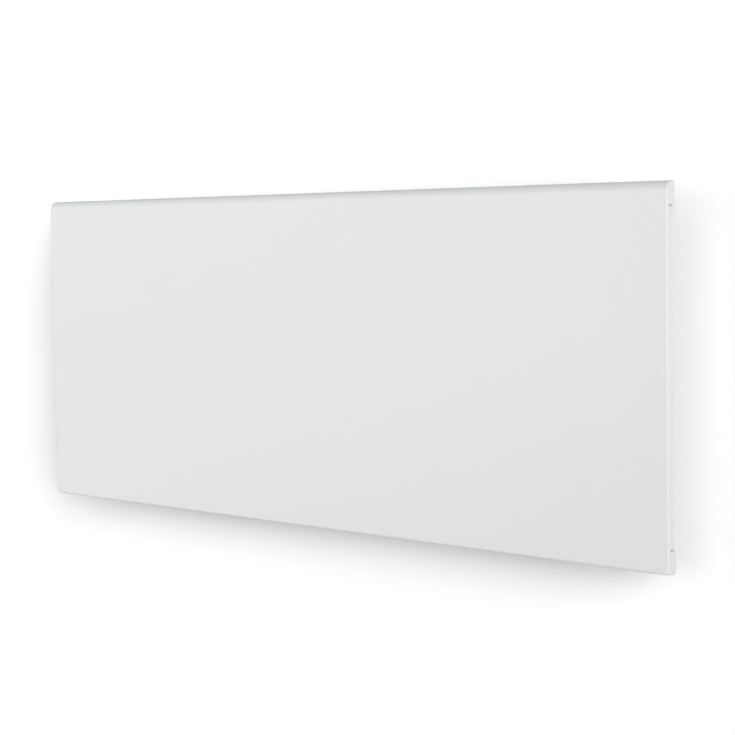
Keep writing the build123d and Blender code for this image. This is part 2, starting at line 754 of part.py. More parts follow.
def element_terminal():
    """Right-hand threaded terminal with its nut."""
    pin = round_x(rod_end, terminal_end, element_y, element_z, TERMINAL_RADIUS)
    nut = extrude(Plane.YZ.offset(rod_end) * RegularPolygon(TERMINAL_NUT_RADIUS, 6), TERMINAL_NUT_LENGTH)
    return pin + Pos(0, element_y, element_z) * nut


def element_bracket():
    """Right-hand bracket: a plate round the insulator, with a foot on the casing's back."""
    z0 = element_z - ELEMENT_BRACKET_HEIGHT / 2
    z1 = element_z + ELEMENT_BRACKET_HEIGHT / 2
    x1 = element_bracket_x + BRACKET_SHEET
    plate = block(
        element_bracket_x, x1, element_y - ELEMENT_BRACKET_NOSE, casing_inner_y, z0, z1,
    )
    plate += block(x1, x1 + FLANGE_WIDTH, casing_inner_y - BRACKET_SHEET, casing_inner_y, z0, z1)
    plate -= round_x(element_bracket_x - 1, x1 + 1, element_y, element_z, BUSH_RADIUS + BUSH_FIT)
    right_x = x1 + FLANGE_WIDTH / 2
    for x, z in bracket_rivet_places():
        if x == right_x:
            plate -= round_y(x, casing_inner_y - 2 * BRACKET_SHEET, casing_inner_y, z, RIVET_RADIUS)
    return plate


def cradle_rivet_heights():
    step = ELEMENT_TALL / 4
    return (element_z - step, element_z + step)


def element_cradle():
    """Support at mid length: a strip on the rear shield with an arm above and one below."""
    half = ELEMENT_TALL / 2 + CRADLE_GAP
    x0 = element_mid_x - CRADLE_WIDTH / 2
    x1 = element_mid_x + CRADLE_WIDTH / 2
    y1 = rear_shield_y
    reach = element_y - ELEMENT_DEPTH / 2
    cradle = block(
        x0, x1, y1 - CRADLE_SHEET, y1, element_z - half - CRADLE_SHEET, element_z + half + CRADLE_SHEET,
    )
    for up in (-1, 1):
        z = element_z + up * half
        cradle += block(x0, x1, reach, y1, z, z + up * CRADLE_SHEET)
    for z in cradle_rivet_heights():
        cradle -= round_y(element_mid_x, y1 - 2 * CRADLE_SHEET, y1, z, RIVET_RADIUS)
    return cradle


def element_rivets():
    """Flush rivets that hold the cradle to the rear shield."""
    grip = CRADLE_SHEET + SHIELD_SHEET
    return [
        Pos(element_mid_x, rear_shield_y - CRADLE_SHEET, z) * to_front * rivet(grip, tail=False)
        for z in cradle_rivet_heights()
    ]


# Control unit

def corner_post_places():
    step = HOUSING_WALL + POST_RADIUS - POST_IN_WALL
    return [
        (x, y)
        for x in (housing_left + step, housing_right - step)
        for y in (housing_front + step, housing_back - step)
    ]


def board_post_places():
    return [
        (board_left + BOARD_POST_INSET, board_front + BOARD_POST_INSET),
        (board_right - BOARD_POST_INSET, board_back - BOARD_POST_INSET),
    ]


def pad_x(number):
    """Where a wire meets the board, counted from the left."""
    return board_left + PAD_FIRST + number * PAD_PITCH


def control_housing():
    inner_floor = housing_bottom + HOUSING_WALL
    body = block(housing_left, housing_right, housing_front, housing_back, housing_bottom, cover_bottom)
    body -= block(
        housing_left + HOUSING_WALL, housing_right - HOUSING_WALL,
        housing_front + HOUSING_WALL, housing_back - HOUSING_WALL, inner_floor, cover_bottom + 1,
    )
    half = CABLE_OPENING_DEPTH / 2
    body -= block(
        switch_x - CABLE_OPENING_MARGIN, pad_x(3) + CABLE_OPENING_MARGIN,
        mid_y - half, mid_y + half, housing_bottom - 1, inner_floor + 1,
    )
    for x, y in corner_post_places():
        body += round_z(x, y, inner_floor, cover_bottom, POST_RADIUS)
        body -= round_z(x, y, cover_bottom - SMALL_SCREW_LENGTH, cover_bottom, SMALL_SCREW_RADIUS)
    for x, y in board_post_places():
        body += round_z(x, y, inner_floor, board_bottom, POST_RADIUS)
        body -= round_z(x, y, board_bottom - SMALL_SCREW_LENGTH, board_bottom, SMALL_SCREW_RADIUS)
    for y, z in housing_screw_places():
        body -= round_x(housing_left, housing_left + SMALL_SCREW_LENGTH, y, z, SMALL_SCREW_RADIUS)
    return body


def control_cover():
    cover = block(
        partition_right + HOUSING_GAP, casing_inner_x - HOUSING_GAP,
        panel_inner_y + PARTITION_FRONT_GAP, casing_inner_y - HOUSING_GAP, cover_bottom, control_top,
    )
    z0 = cover_bottom - 1
    z1 = control_top + 1
    cover -= block(
        switch_x - switch_half_x, switch_x + switch_half_x,
        mid_y - switch_half_y, mid_y + switch_half_y, z0, z1,
    )
    cover -= round_z(knob_x, mid_y, z0, z1, SHAFT_RADIUS + SHAFT_COVER_CLEARANCE)
    cover -= round_z(lens_x, mid_y, z0, z1, LENS_RADIUS)
    for x, y in corner_post_places():
        cover -= round_z(x, y, z0, z1, SMALL_SCREW_RADIUS)
    return cover


def control_screws():
    screws = [Pos(x, y, control_top) * small_screw() for x, y in corner_post_places()]
    screws += [Pos(x, y, board_top) * small_screw() for x, y in board_post_places()]
    screws += [Pos(partition_left, y, z) * to_left * small_screw() for y, z in housing_screw_places()]
    return screws


def circuit_board():
    board = block(board_left, board_right, board_front, board_back, board_bottom, board_top)
    for x, y in board_post_places():
        board -= round_z(x, y, board_bottom, board_top, SMALL_SCREW_RADIUS)
    return board


def board_components():
    """Relay and capacitor under the board, indicator lamp on top."""
    relay_y = board_front + RELAY_WIDTH / 2 + BOARD_EDGE_GAP
    relay = block(
        knob_x - RELAY_LENGTH / 2, knob_x + RELAY_LENGTH / 2,
        relay_y - RELAY_WIDTH / 2, relay_y + RELAY_WIDTH / 2, board_bottom - RELAY_HEIGHT, board_bottom,
    )
    capacitor = round_z(
        board_left + CAPACITOR_RADIUS + BOARD_EDGE_GAP, board_back - CAPACITOR_RADIUS - BOARD_EDGE_GAP,
        board_bottom - CAPACITOR_HEIGHT, board_bottom, CAPACITOR_RADIUS,
    )
    lamp = round_z(lens_x, mid_y, board_top, board_top + LED_HEIGHT, LENS_RADIUS)
    return [relay, capacitor, lamp]


def indicator_lens():
    """Light pipe from the board's lamp to the cover."""
    pipe = round_z(lens_x, mid_y, board_top + LED_HEIGHT, control_top, LENS_RADIUS)
    head = round_z(lens_x, mid_y, control_top, control_top + LENS_HEAD_HEIGHT, LENS_HEAD_RADIUS)
    return pipe + fillet(head.edges().group_by(Axis.Z)[-1], LENS_HEAD_HEIGHT * 0.6)


def potentiometer():
    half = POT_SIZE / 2
    z1 = board_top + POT_HEIGHT
    body = block(knob_x - half, knob_x + half, mid_y - half, mid_y + half, board_top, z1)
    body += round_z(knob_x, mid_y, z1, z1 + BUSHING_HEIGHT, BUSHING_RADIUS)
    return body - round_z(
        knob_x, mid_y, z1 - POT_HEIGHT / 2, z1 + BUSHING_HEIGHT, SHAFT_RADIUS + SHAFT_CLEARANCE,
    )


def thermostat_shaft():
    """Stands on the floor of the potentiometer's bore and carries the knob."""
    return round_z(
        knob_x, mid_y, board_top + POT_HEIGHT / 2 + SHAFT_CLEARANCE,
        knob_bottom + KNOB_BORE_DEPTH, SHAFT_RADIUS,
    )


def thermostat_knob():
    z1 = knob_bottom + KNOB_HEIGHT
    skirt = round_z(knob_x, mid_y, knob_bottom, knob_bottom + KNOB_SKIRT_HEIGHT, KNOB_SKIRT_RADIUS)
    skirt = fillet(skirt.edges().group_by(Axis.Z)[-1], KNOB_SKIRT_HEIGHT * 0.4)
    grip = round_z(knob_x, mid_y, knob_bottom, z1, KNOB_GRIP_RADIUS)
    grip = fillet(grip.edges().group_by(Axis.Z)[-1], KNOB_SKIRT_HEIGHT * 0.5)
    knob = skirt + grip
    flutes = []
    for i in range(KNOB_FLUTES):
        turn = 2 * pi * i / KNOB_FLUTES
        x = knob_x + KNOB_GRIP_RADIUS * cos(turn)
        y = mid_y + KNOB_GRIP_RADIUS * sin(turn)
        flutes.append(round_z(x, y, knob_bottom + KNOB_SKIRT_HEIGHT, z1 + 1, KNOB_FLUTE_RADIUS))
    half = KNOB_MARK_WIDTH / 2
    mark = block(
        knob_x - half, knob_x + half, mid_y - KNOB_GRIP_RADIUS - 1, mid_y - KNOB_GRIP_RADIUS / 2,
        z1 - half, z1 + 1,
    )
    bore = round_z(knob_x, mid_y, knob_bottom - 1, knob_bottom + KNOB_BORE_DEPTH, SHAFT_RADIUS)
    return knob - flutes - mark - bore


def switch_body():
    bezel_x = switch_half_x + SWITCH_BEZEL_RIM
    bezel_y = switch_half_y + SWITCH_BEZEL_RIM
    z1 = control_top + SWITCH_BEZEL_HEIGHT
    body = block(
        switch_x - bezel_x, switch_x + bezel_x, mid_y - bezel_y, mid_y + bezel_y, control_top, z1,
    )
    body += block(
        switch_x - switch_half_x, switch_x + switch_half_x,
        mid_y - switch_half_y, mid_y + switch_half_y, switch_bottom, control_top,
    )
    floor_z = rocker_z - ROCKER_LENGTH / 2 - ROCKER_GAP
    body -= block(
        switch_x - switch_half_x + SWITCH_WALL, switch_x + switch_half_x - SWITCH_WALL,
        mid_y - switch_half_y + SWITCH_WALL, mid_y + switch_half_y - SWITCH_WALL, floor_z, z1 + 1,
    )
    pin = ROCKER_WIDTH / 2 + TRUNNION_LENGTH + SHAFT_CLEARANCE
    return body - round_x(
        switch_x - pin, switch_x + pin, mid_y, rocker_z, TRUNNION_RADIUS + SHAFT_CLEARANCE,
    )


def switch_rocker():
    """Shown off: tilted one way by half of its travel."""
    half = ROCKER_LENGTH / 2
    side = Circle(half) & Polygon(
        (-half, -ROCKER_DEPTH), (half, -ROCKER_DEPTH), (half, ROCKER_EDGE_RISE),
        (0, ROCKER_EDGE_RISE - ROCKER_DIP), (-half, ROCKER_EDGE_RISE), align=None,
    )
    rocker = plate_yz(side, -ROCKER_WIDTH / 2, ROCKER_WIDTH / 2)
    pin = ROCKER_WIDTH / 2 + TRUNNION_LENGTH
    rocker += round_x(-pin, pin, 0, 0, TRUNNION_RADIUS)
    return Pos(switch_x, mid_y, rocker_z) * Rot(-ROCKER_TILT, 0, 0) * rocker


def switch_tab_y(side):
    return mid_y + side * SWITCH_TAB_SPACING / 2


def switch_terminals():
    tabs = []
    for side in (-1, 1):
        y = switch_tab_y(side)
        tabs.append(block(
            switch_x - SWITCH_TAB_WIDTH / 2, switch_x + SWITCH_TAB_WIDTH / 2,
            y - TAB_THICKNESS / 2, y + TAB_THICKNESS / 2, switch_tab_bottom, switch_bottom,
        ))
    return tabs


# Wiring compartment

def hexagon_x(x0, x1, across, y, z):
    """Hexagonal nut form along X, across its flats."""
    sketch = RegularPolygon(across / 2, 6, major_radius=False)
    return plate_yz(Pos(y, z) * sketch, x0, x1)


def gland_end():
    """Outer end of the gland's thread."""
    return casing_half + GLAND_HEX_THICKNESS + GLAND_OUTSIDE


def cable_gland():
    x0 = casing_inner_x - GLAND_INSIDE
    body = round_x(x0, gland_end(), gland_y, gland_z, GLAND_THREAD_RADIUS)
    body += hexagon_x(casing_half, casing_half + GLAND_HEX_THICKNESS, GLAND_HEX, gland_y, gland_z)
    body -= round_x(x0 - 1, gland_end() + 1, gland_y, gland_z, GLAND_BORE_RADIUS)
    return body - round_x(
        casing_half + GLAND_SEAL_INSET, gland_end() + 1, gland_y, gland_z, GLAND_SEAL_RADIUS,
    )


def gland_seal():
    x0 = casing_half + GLAND_SEAL_INSET
    seal = round_x(x0, gland_end(), gland_y, gland_z, GLAND_SEAL_RADIUS)
    return seal - round_x(x0 - 1, gland_end() + 1, gland_y, gland_z, GLAND_BORE_RADIUS)


def gland_cap():
    x0 = casing_half + GLAND_HEX_THICKNESS
    x1 = gland_end() + GLAND_CAP_WALL
    cap = round_x(x0, x1, gland_y, gland_z, GLAND_CAP_RADIUS)
    cap = fillet(cap.edges().group_by(Axis.X)[-1], GLAND_CAP_WALL / 2)
    for i in range(GLAND_CAP_RIBS):
        turn = 2 * pi * i / GLAND_CAP_RIBS
        y = gland_y + GLAND_CAP_RADIUS * cos(turn)
        z = gland_z + GLAND_CAP_RADIUS * sin(turn)
        cap -= round_x(x0 - 1, gland_end(), y, z, KNOB_FLUTE_RADIUS)
    cap -= round_x(x0 - 1, gland_end(), gland_y, gland_z, GLAND_THREAD_RADIUS)
    return cap - round_x(x0, x1 + 1, gland_y, gland_z, GLAND_BORE_RADIUS)


def gland_locknut():
    nut = hexagon_x(casing_inner_x - LOCKNUT_THICKNESS, casing_inner_x, GLAND_HEX, gland_y, gland_z)
    return nut - round_x(
        casing_inner_x - LOCKNUT_THICKNESS, casing_inner_x, gland_y, gland_z, GLAND_THREAD_RADIUS,
    )


def pole_x(number):
    return switch_x + number * POLE_PITCH


def terminal_block():
    half = POLE_PITCH * POLES / 2
    body = block(
        block_x - half, block_x + half, block_front, casing_inner_y,
        block_z - BLOCK_HEIGHT / 2, block_top,
    )
    for number in range(POLES):
        x = pole_x(number)
        body -= round_z(x, pole_y, block_top - POLE_WIRE_DEPTH, block_top, WIRE_RADIUS)
        body -= round_z(x, pole_y, block_z - BLOCK_HEIGHT / 2, block_z, SUPPLY_HOLE_RADIUS)
        body -= round_y(x, block_front, block_front + POLE_SCREW_DEPTH, block_z, POLE_SCREW_RADIUS)
    return body


def terminal_screws():
    """Slotted screws sunk in the terminal block's front."""
    screws = []
    for number in range(POLES):
        x = pole_x(number)
        y0 = block_front + TAB_THICKNESS
        body = round_y(x, y0, block_front + POLE_SCREW_DEPTH, block_z, POLE_SCREW_RADIUS)
        slot = block(
            x - TAB_THICKNESS / 2, x + TAB_THICKNESS / 2, y0, y0 + TAB_THICKNESS,
            block_z - POLE_SCREW_RADIUS - 1, block_z + POLE_SCREW_RADIUS + 1,
        )
        screws.append(body - slot)
    return screws


def earth_stud():
    """Stud on the casing's back with its collar, nut and the earth wire's tag."""
    x = pole_x(1)
    tag_y = pole_y + TAB_THICKNESS / 2
    stud_end = pole_y - EARTH_NUT_THICKNESS - 2 * TAB_THICKNESS
    stud = round_y(x, stud_end, casing_inner_y, earth_z, EARTH_STUD_RADIUS)
    stud += round_y(x, tag_y, casing_inner_y, earth_z, EARTH_COLLAR_RADIUS)
    stud += round_y(x, tag_y - TAB_THICKNESS, tag_y, earth_z, EARTH_COLLAR_RADIUS)
    nut = extrude(Plane.XZ * RegularPolygon(EARTH_COLLAR_RADIUS, 6), EARTH_NUT_THICKNESS)
    stud += Pos(x, tag_y - TAB_THICKNESS, earth_z) * nut
    barrel_top = earth_z - EARTH_COLLAR_RADIUS
    stud += block(
        x - EARTH_TAG_WIDTH / 4, x + EARTH_TAG_WIDTH / 4, tag_y - TAB_THICKNESS, tag_y,
        barrel_top - EARTH_TAG_WIDTH / 2, earth_z,
    )
    return stud + round_z(
        x, pole_y, barrel_top - EARTH_TAG_WIDTH, barrel_top - EARTH_TAG_WIDTH / 2,
        WIRE_RADIUS + TAB_THICKNESS,
    )


def overheat_cutout():
    x0 = partition_right
    body = round_x(partition_left - CUTOUT_NOSE, x0, mid_y, cutout_z, CUTOUT_RADIUS)
    body += round_x(x0, x0 + CASING_SHEET, mid_y, cutout_z, CUTOUT_FLANGE_RADIUS)
    body += round_x(x0, x0 + CASING_SHEET + CUTOUT_BASE, mid_y, cutout_z, CUTOUT_RADIUS)
    for side in (-1, 1):
        y = mid_y + side * CUTOUT_TAB_SPACING / 2
        body += block(
            x0 + CASING_SHEET + CUTOUT_BASE, cutout_tab_x, y - TAB_THICKNESS / 2, y + TAB_THICKNESS / 2,
            cutout_z - SWITCH_TAB_WIDTH / 2, cutout_z + SWITCH_TAB_WIDTH / 2,
        )
    return body


def sensor_clip():
    half = SENSOR_CLIP_SIZE / 2
    clip = block(
        partition_right, partition_right + SENSOR_CLIP_SIZE, sensor_y - half, sensor_y + half,
        sensor_z - half, sensor_z + half,
    )
    return clip - round_z(sensor_x, sensor_y, sensor_z - half, sensor_z + half, SENSOR_RADIUS)


def room_sensor():
    half = SENSOR_LENGTH / 2
    return round_z(sensor_x, sensor_y, sensor_z - half, sensor_z + half, SENSOR_RADIUS)


# Wires, each a run of points from end to end

wire_bend_low = housing_bottom - 2 * CABLE_OPENING_DEPTH - 2 * SWITCH_TAB_LENGTH
wire_bend_high = housing_bottom - SWITCH_TAB_LENGTH
pole_wire_z = block_top - POLE_WIRE_DEPTH


def live_wire():
    x = pole_x(0)
    y = switch_tab_y(-1)
    return tube([
        (x, pole_y, pole_wire_z), (x, pole_y, wire_bend_low),
        (x, y, wire_bend_high), (x, y, switch_tab_bottom),
    ])


def switched_wire():
    y = switch_tab_y(1)
    z = switch_tab_bottom - 2 * CABLE_OPENING_DEPTH
    return tube([
        (switch_x, y, switch_tab_bottom), (switch_x, y, z),
        (pad_x(0), mid_y, z), (pad_x(0), mid_y, board_bottom),
    ])


def neutral_wire():
    x = pole_x(2)
    return tube([
        (x, pole_y, pole_wire_z), (x, pole_y, wire_bend_low),
        (pad_x(1), mid_y, wire_bend_high), (pad_x(1), mid_y, board_bottom),
    ])


def earth_wire():
    x = pole_x(1)
    return tube([(x, pole_y, pole_wire_z), (x, pole_y, earth_z - EARTH_COLLAR_RADIUS - EARTH_TAG_WIDTH)])


def sensor_lead():
    return tube([
        (sensor_x, sensor_y, sensor_z + SENSOR_LENGTH / 2), (sensor_x, sensor_y, wire_bend_low),
        (pad_x(2), mid_y, wire_bend_high), (pad_x(2), mid_y, board_bottom),
    ])


def cutout_lead():
    y = mid_y - CUTOUT_TAB_SPACING / 2
    x = cutout_tab_x + 3 * WIRE_BEND
    return tube([
        (pad_x(3), mid_y, board_bottom), (pad_x(3), mid_y, wire_bend_low),
        (x, y, cutout_z), (cutout_tab_x, y, cutout_z),
    ])


def element_lead():
    y = mid_y + CUTOUT_TAB_SPACING / 2
    x = cutout_tab_x + 2 * WIRE_BEND
    return tube([
        (cutout_tab_x, y, cutout_z), (x, y, cutout_z), (x, element_y, earth_z),
        (x, element_y, element_z), (terminal_end, element_y, element_z),
    ])


def return_lead():
    """From the element's left end, under the element, to the terminal block."""
    left = terminal_end_left - 3 * WIRE_BEND
    right = pole_x(POLES - 1) + POLE_PITCH / 2 + WIRE_SIDE_CLEARANCE + WIRE_RADIUS
    top = block_top + 5 * WIRE_BEND
    return tube([
        (terminal_end_left, element_y, element_z), (left, element_y, element_z),
        (left, element_y, low_wire_z), (right, element_y, low_wire_z), (right, element_y, block_z),
        (right, pole_y, top), (pole_x(3), pole_y, top), (pole_x(3), pole_y, pole_wire_z),
    ], bend=WIRE_BEND * 0.9)


# Hanging hardware

def hanging_lug():
    """Right-hand lug: a base on the casing's back and two ears that hold the pivot pin."""
    z0 = pivot_z - LUG_HEIGHT / 2
    z1 = pivot_z + LUG_HEIGHT / 2
    ear_y = casing_back_y + LUG_SHEET
    swing = radians(TILT_LIMIT)
    tail = (-TILT_STOP_GAP - pivot_y - LUG_TAIL_DROP * sin(swing)) / cos(swing)
    side = Polygon(
        (casing_back_y, z0), (pivot_y + tail, pivot_z - LUG_TAIL_DROP), (pivot_y + LUG_EAR_ROUND, pivot_z),
        (pivot_y, pivot_z + LUG_EAR_ROUND), (ear_y, z1), (casing_back_y, z1), align=None,
    )
    side += Pos(pivot_y, pivot_z) * Circle(LUG_EAR_ROUND)
    side -= Pos(pivot_y, pivot_z) * Circle(PIN_RADIUS)
    lug = block(hang_half - lug_outer, hang_half + lug_outer, casing_back_y, ear_y, z0, z1)
    for x in (hang_half - lug_outer, hang_half + lug_inner):
        lug += plate_yz(side, x, x + LUG_SHEET)
    for x, z in lug_rivet_places():
        lug -= round_y(x, casing_back_y - 1, ear_y + 1, z, RIVET_RADIUS)
    return lug


def pivot_pin():
    reach = lug_outer
    pin = round_x(hang_half - reach, hang_half + reach, pivot_y, pivot_z, PIN_RADIUS)
    for x in (hang_half - reach - PIN_HEAD_LENGTH, hang_half + reach):
        pin += round_x(x, x + PIN_HEAD_LENGTH, pivot_y, pivot_z, PIN_HEAD_RADIUS)
    return pin


def catch_peg():
    """Right-hand stud on the casing's back with a round head for the spring clip."""
    y0 = casing_inner_y - RIVET_TAIL_LENGTH
    y1 = casing_back_y + PEG_LENGTH
    head = round_y(hang_half, y1 - PEG_HEAD_LENGTH, y1, peg_z, PEG_HEAD_RADIUS)
    head = fillet(head.edges().filter_by(GeomType.CIRCLE), PEG_HEAD_LENGTH * 0.3)
    peg = head + round_y(hang_half, y0, y1 - PEG_HEAD_LENGTH, peg_z, PEG_SHANK_RADIUS)
    peg += round_y(hang_half, casing_back_y, casing_back_y + PEG_FOOT_THICKNESS, peg_z, PEG_FOOT_RADIUS)
    return peg + round_y(hang_half, y0, casing_inner_y, peg_z, PEG_HEAD_RADIUS)


# Wall bracket

def upright_side():
    """Side wall of an upright in Y and Z, with the hook that holds the pivot pin."""
    slot = PIN_RADIUS + PIN_CLEARANCE
    nose = pivot_y - upright_front_y
    wall = Pos(pivot_y, pivot_z) * Circle(nose)
    wall += Polygon(
        (pivot_y, upright_bottom), (0, upright_bottom), (0, pivot_z), (pivot_y, pivot_z), align=None,
    )
    wall += Polygon(
        (upright_front_y, pivot_z), (0, pivot_z), (0, upright_top), (upright_front_y, upright_top),
        align=None,
    )
    mouth_low = pivot_z + HOOK_LIP_RISE
    mouth_high = mouth_low + HOOK_MOUTH
    wall -= Pos(pivot_y, pivot_z) * Circle(slot)
    wall -= Polygon(
        (pivot_y - slot, pivot_z), (pivot_y + slot, pivot_z), (pivot_y + slot, mouth_high),
        (upright_front_y - 1, mouth_high), (upright_front_y - 1, mouth_low), (pivot_y - slot, mouth_low),
        align=None,
    )
    return wall


def bracket_upright():
    """Right-hand upright: a channel open to the front."""
    half = UPRIGHT_WIDTH / 2
    upright = block(hang_half - half, hang_half + half, -UPRIGHT_SHEET, 0, upright_bottom, upright_top)
    side = upright_side()
    for x in (hang_half - half, hang_half + half - UPRIGHT_SHEET):
        upright += plate_yz(side, x, x + UPRIGHT_SHEET)
    for z in (-wall_screw_z, wall_screw_z):
        upright -= round_y(hang_half, -UPRIGHT_SHEET - 1, 1, z, WALL_SCREW_RADIUS)
    upright -= round_y(hang_half, -UPRIGHT_SHEET - 1, 1, peg_z, RIVET_RADIUS)
    for z in (-cross_rail_z, cross_rail_z):
        upright -= round_x(
            hang_half - half - 1, hang_half - half + UPRIGHT_SHEET + 1, cross_rivet_y, z, RIVET_RADIUS,
        )
    return upright


cross_rivet_y = -CROSS_RAIL_TAB / 2


def cross_rail(z):
    """Channel between the uprights, with a tab on each end."""
    half = hang_half - UPRIGHT_WIDTH / 2
    z0 = z - CROSS_RAIL_HEIGHT / 2
    z1 = z + CROSS_RAIL_HEIGHT / 2
    rail = block(-half, half, -CROSS_RAIL_SHEET, 0, z0, z1)
    rail += block(-half, half, -CROSS_RAIL_LIP, 0, z0, z0 + CROSS_RAIL_SHEET)
    rail += block(-half, half, -CROSS_RAIL_LIP, 0, z1 - CROSS_RAIL_SHEET, z1)
    for x in (-half, half - CROSS_RAIL_SHEET):
        rail += block(x, x + CROSS_RAIL_SHEET, -CROSS_RAIL_TAB, 0, z0, z1)
        rail -= round_x(x - 1, x + CROSS_RAIL_SHEET + 1, cross_rivet_y, z, RIVET_RADIUS)
    return rail


def bracket_rivets():
    grip = CROSS_RAIL_SHEET + UPRIGHT_SHEET
    x = hang_half - UPRIGHT_WIDTH / 2 + UPRIGHT_SHEET
    right = [Pos(x, cross_rivet_y, z) * to_right * rivet(grip) for z in (-cross_rail_z, cross_rail_z)]
    clip_y = -UPRIGHT_SHEET - CLIP_SHEET
    right.append(Pos(hang_half, clip_y, peg_z) * to_front * rivet(UPRIGHT_SHEET + CLIP_SHEET, tail=False))
    return right + [mirror_x(piece) for piece in right]


def catch_clip():
    """Spring clip on the right-hand upright: two leaves that close behind the peg's head."""
    foot_y = -UPRIGHT_SHEET - CLIP_SHEET / 2
    head_y = casing_back_y + PEG_LENGTH - PEG_HEAD_LENGTH
    neck_y = head_y - CLIP_NECK_STEP
    neck_x = PEG_SHANK_RADIUS + CLIP_GAP + CLIP_SHEET / 2
    shoulder_y = head_y + PEG_HEAD_LENGTH / 2
    section = Sketch()
    for side in (-1, 1):
        leaf = FilletPolyline(
            (0, foot_y), (side * CLIP_HALF_WIDTH, foot_y), (side * CLIP_HALF_WIDTH, shoulder_y),
            (side * neck_x, neck_y), (side * (neck_x + CLIP_FLARE), neck_y - CLIP_FLARE),
            radius=CLIP_BEND,
        )
        section += trace(leaf, CLIP_SHEET)
    clip = extrude(Plane.XY.offset(peg_z - CLIP_HEIGHT / 2) * Pos(hang_half, 0) * section, CLIP_HEIGHT)
    return clip - round_y(hang_half, -UPRIGHT_SHEET - 2 * CLIP_SHEET, 0, peg_z, RIVET_RADIUS)


def wall_buffer():
    pad = round_y(hang_half, casing_back_y + BUFFER_GAP, -UPRIGHT_SHEET, buffer_z, BUFFER_RADIUS)
    return fillet(pad.edges().filter_by(GeomType.CIRCLE).group_by(Axis.Y)[0], BUFFER_RADIUS / 4)


def left_and_right(piece):
    return [mirror_x(piece), piece]


def all_nodes():
    rail = panel_rail()
    bracket = element_bracket()
    lug = hanging_lug()
    upright = bracket_upright()
    return {
        "front_panel": front_panel(),
        "panel_rail_left": mirror_x(rail),
        "panel_rail_right": rail,
        "rear_casing": rear_casing(),
        "casing_end_left": mirror_x(casing_end(with_inlet=False)),
        "casing_end_right": casing_end(with_inlet=True),
        "partition": partition(),
        "outlet_grille": outlet_grille(),
        "casing_screws": casing_screws(),
        "casing_rivets": casing_rivets(),
        "rating_plate": rating_plate(),
        "rear_heat_shield": rear_heat_shield(),
        "front_heat_shield": front_heat_shield(),
        "element_profile": element_profile(),
        "element_rod": element_rod(),
        "element_insulators": [element_bush(), mirror_x(element_bush(), element_mid_x)],
        "element_terminals": [element_terminal(), mirror_x(element_terminal(), element_mid_x)],
        "element_bracket_left": mirror_x(bracket, element_mid_x),
        "element_bracket_right": bracket,
        "element_cradle": element_cradle(),
        "element_rivets": element_rivets(),
        "control_housing": control_housing(),
        "control_cover": control_cover(),
        "control_screws": control_screws(),
        "circuit_board": circuit_board(),
        "board_components": board_components(),
        "indicator_lens": indicator_lens(),
        "potentiometer": potentiometer(),
        "thermostat_shaft": thermostat_shaft(),
        "thermostat_knob": thermostat_knob(),
        "switch_body": switch_body(),
        "switch_rocker": switch_rocker(),
        "switch_terminals": switch_terminals(),
        "cable_gland": cable_gland(),
        "gland_seal": gland_seal(),
        "gland_cap": gland_cap(),
        "gland_locknut": gland_locknut(),
        "terminal_block": terminal_block(),
        "terminal_screws": terminal_screws(),
        "earth_stud": earth_stud(),
        "overheat_cutout": overheat_cutout(),
        "sensor_clip": sensor_clip(),
        "room_sensor": room_sensor(),
        "supply_wires": [live_wire(), neutral_wire(), earth_wire()],
        "switched_wire": switched_wire(),
        "cutout_lead": cutout_lead(),
        "element_lead": element_lead(),
        "return_lead": return_lead(),
        "sensor_lead": sensor_lead(),
        "hanging_lug_left": mirror_x(lug),
        "hanging_lug_right": lug,
        "pivot_pins": left_and_right(pivot_pin()),
        "catch_pegs": left_and_right(catch_peg()),
        "bracket_upright_left": mirror_x(upright),
        "bracket_upright_right": upright,
        "bracket_rail_top": cross_rail(cross_rail_z),
        "bracket_rail_bottom": cross_rail(-cross_rail_z),
        "bracket_rivets": bracket_rivets(),
        "catch_clips": left_and_right(catch_clip()),
        "wall_buffers": left_and_right(wall_buffer()),
    }


def write_nodes():
    os.makedirs("parts", exist_ok=True)
    for name, shape in all_nodes().items():
        if isinstance(shape, list):
            shape = Compound(children=[solid for piece in shape for solid in piece.solids()])
        export_step(shape, f"parts/{name}.step")


write_nodes()
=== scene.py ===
import math

import bmesh
import bpy
from mathutils import Matrix, Vector


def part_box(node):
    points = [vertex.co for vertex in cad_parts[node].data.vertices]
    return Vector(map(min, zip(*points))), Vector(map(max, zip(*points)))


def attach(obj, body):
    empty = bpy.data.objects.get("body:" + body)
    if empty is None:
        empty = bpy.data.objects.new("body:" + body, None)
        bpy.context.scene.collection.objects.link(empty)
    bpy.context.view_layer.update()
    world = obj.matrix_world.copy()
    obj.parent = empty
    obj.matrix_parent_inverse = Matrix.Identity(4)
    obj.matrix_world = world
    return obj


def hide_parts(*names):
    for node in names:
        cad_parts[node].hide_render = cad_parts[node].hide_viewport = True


# Wall-hung panel heater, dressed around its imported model. Metres, +Z up, front towards -Y, wall at Y = 0.
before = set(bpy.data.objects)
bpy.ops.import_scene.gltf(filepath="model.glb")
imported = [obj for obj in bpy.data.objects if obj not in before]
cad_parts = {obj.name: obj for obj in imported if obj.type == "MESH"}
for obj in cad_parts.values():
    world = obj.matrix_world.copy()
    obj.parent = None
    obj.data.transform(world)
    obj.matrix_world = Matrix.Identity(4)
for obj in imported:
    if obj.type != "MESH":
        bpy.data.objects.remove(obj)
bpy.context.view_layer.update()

# Camera, solved from the front panel's edges in the photo
CAMERA_PLACE = (1.6507, -1.6779, 0.1529)
CAMERA_YAW = 44.317
CAMERA_PITCH = 4.013
CAMERA_ROLL = -0.891
CAMERA_LENS = 94.64
CAMERA_SENSOR = 36.0

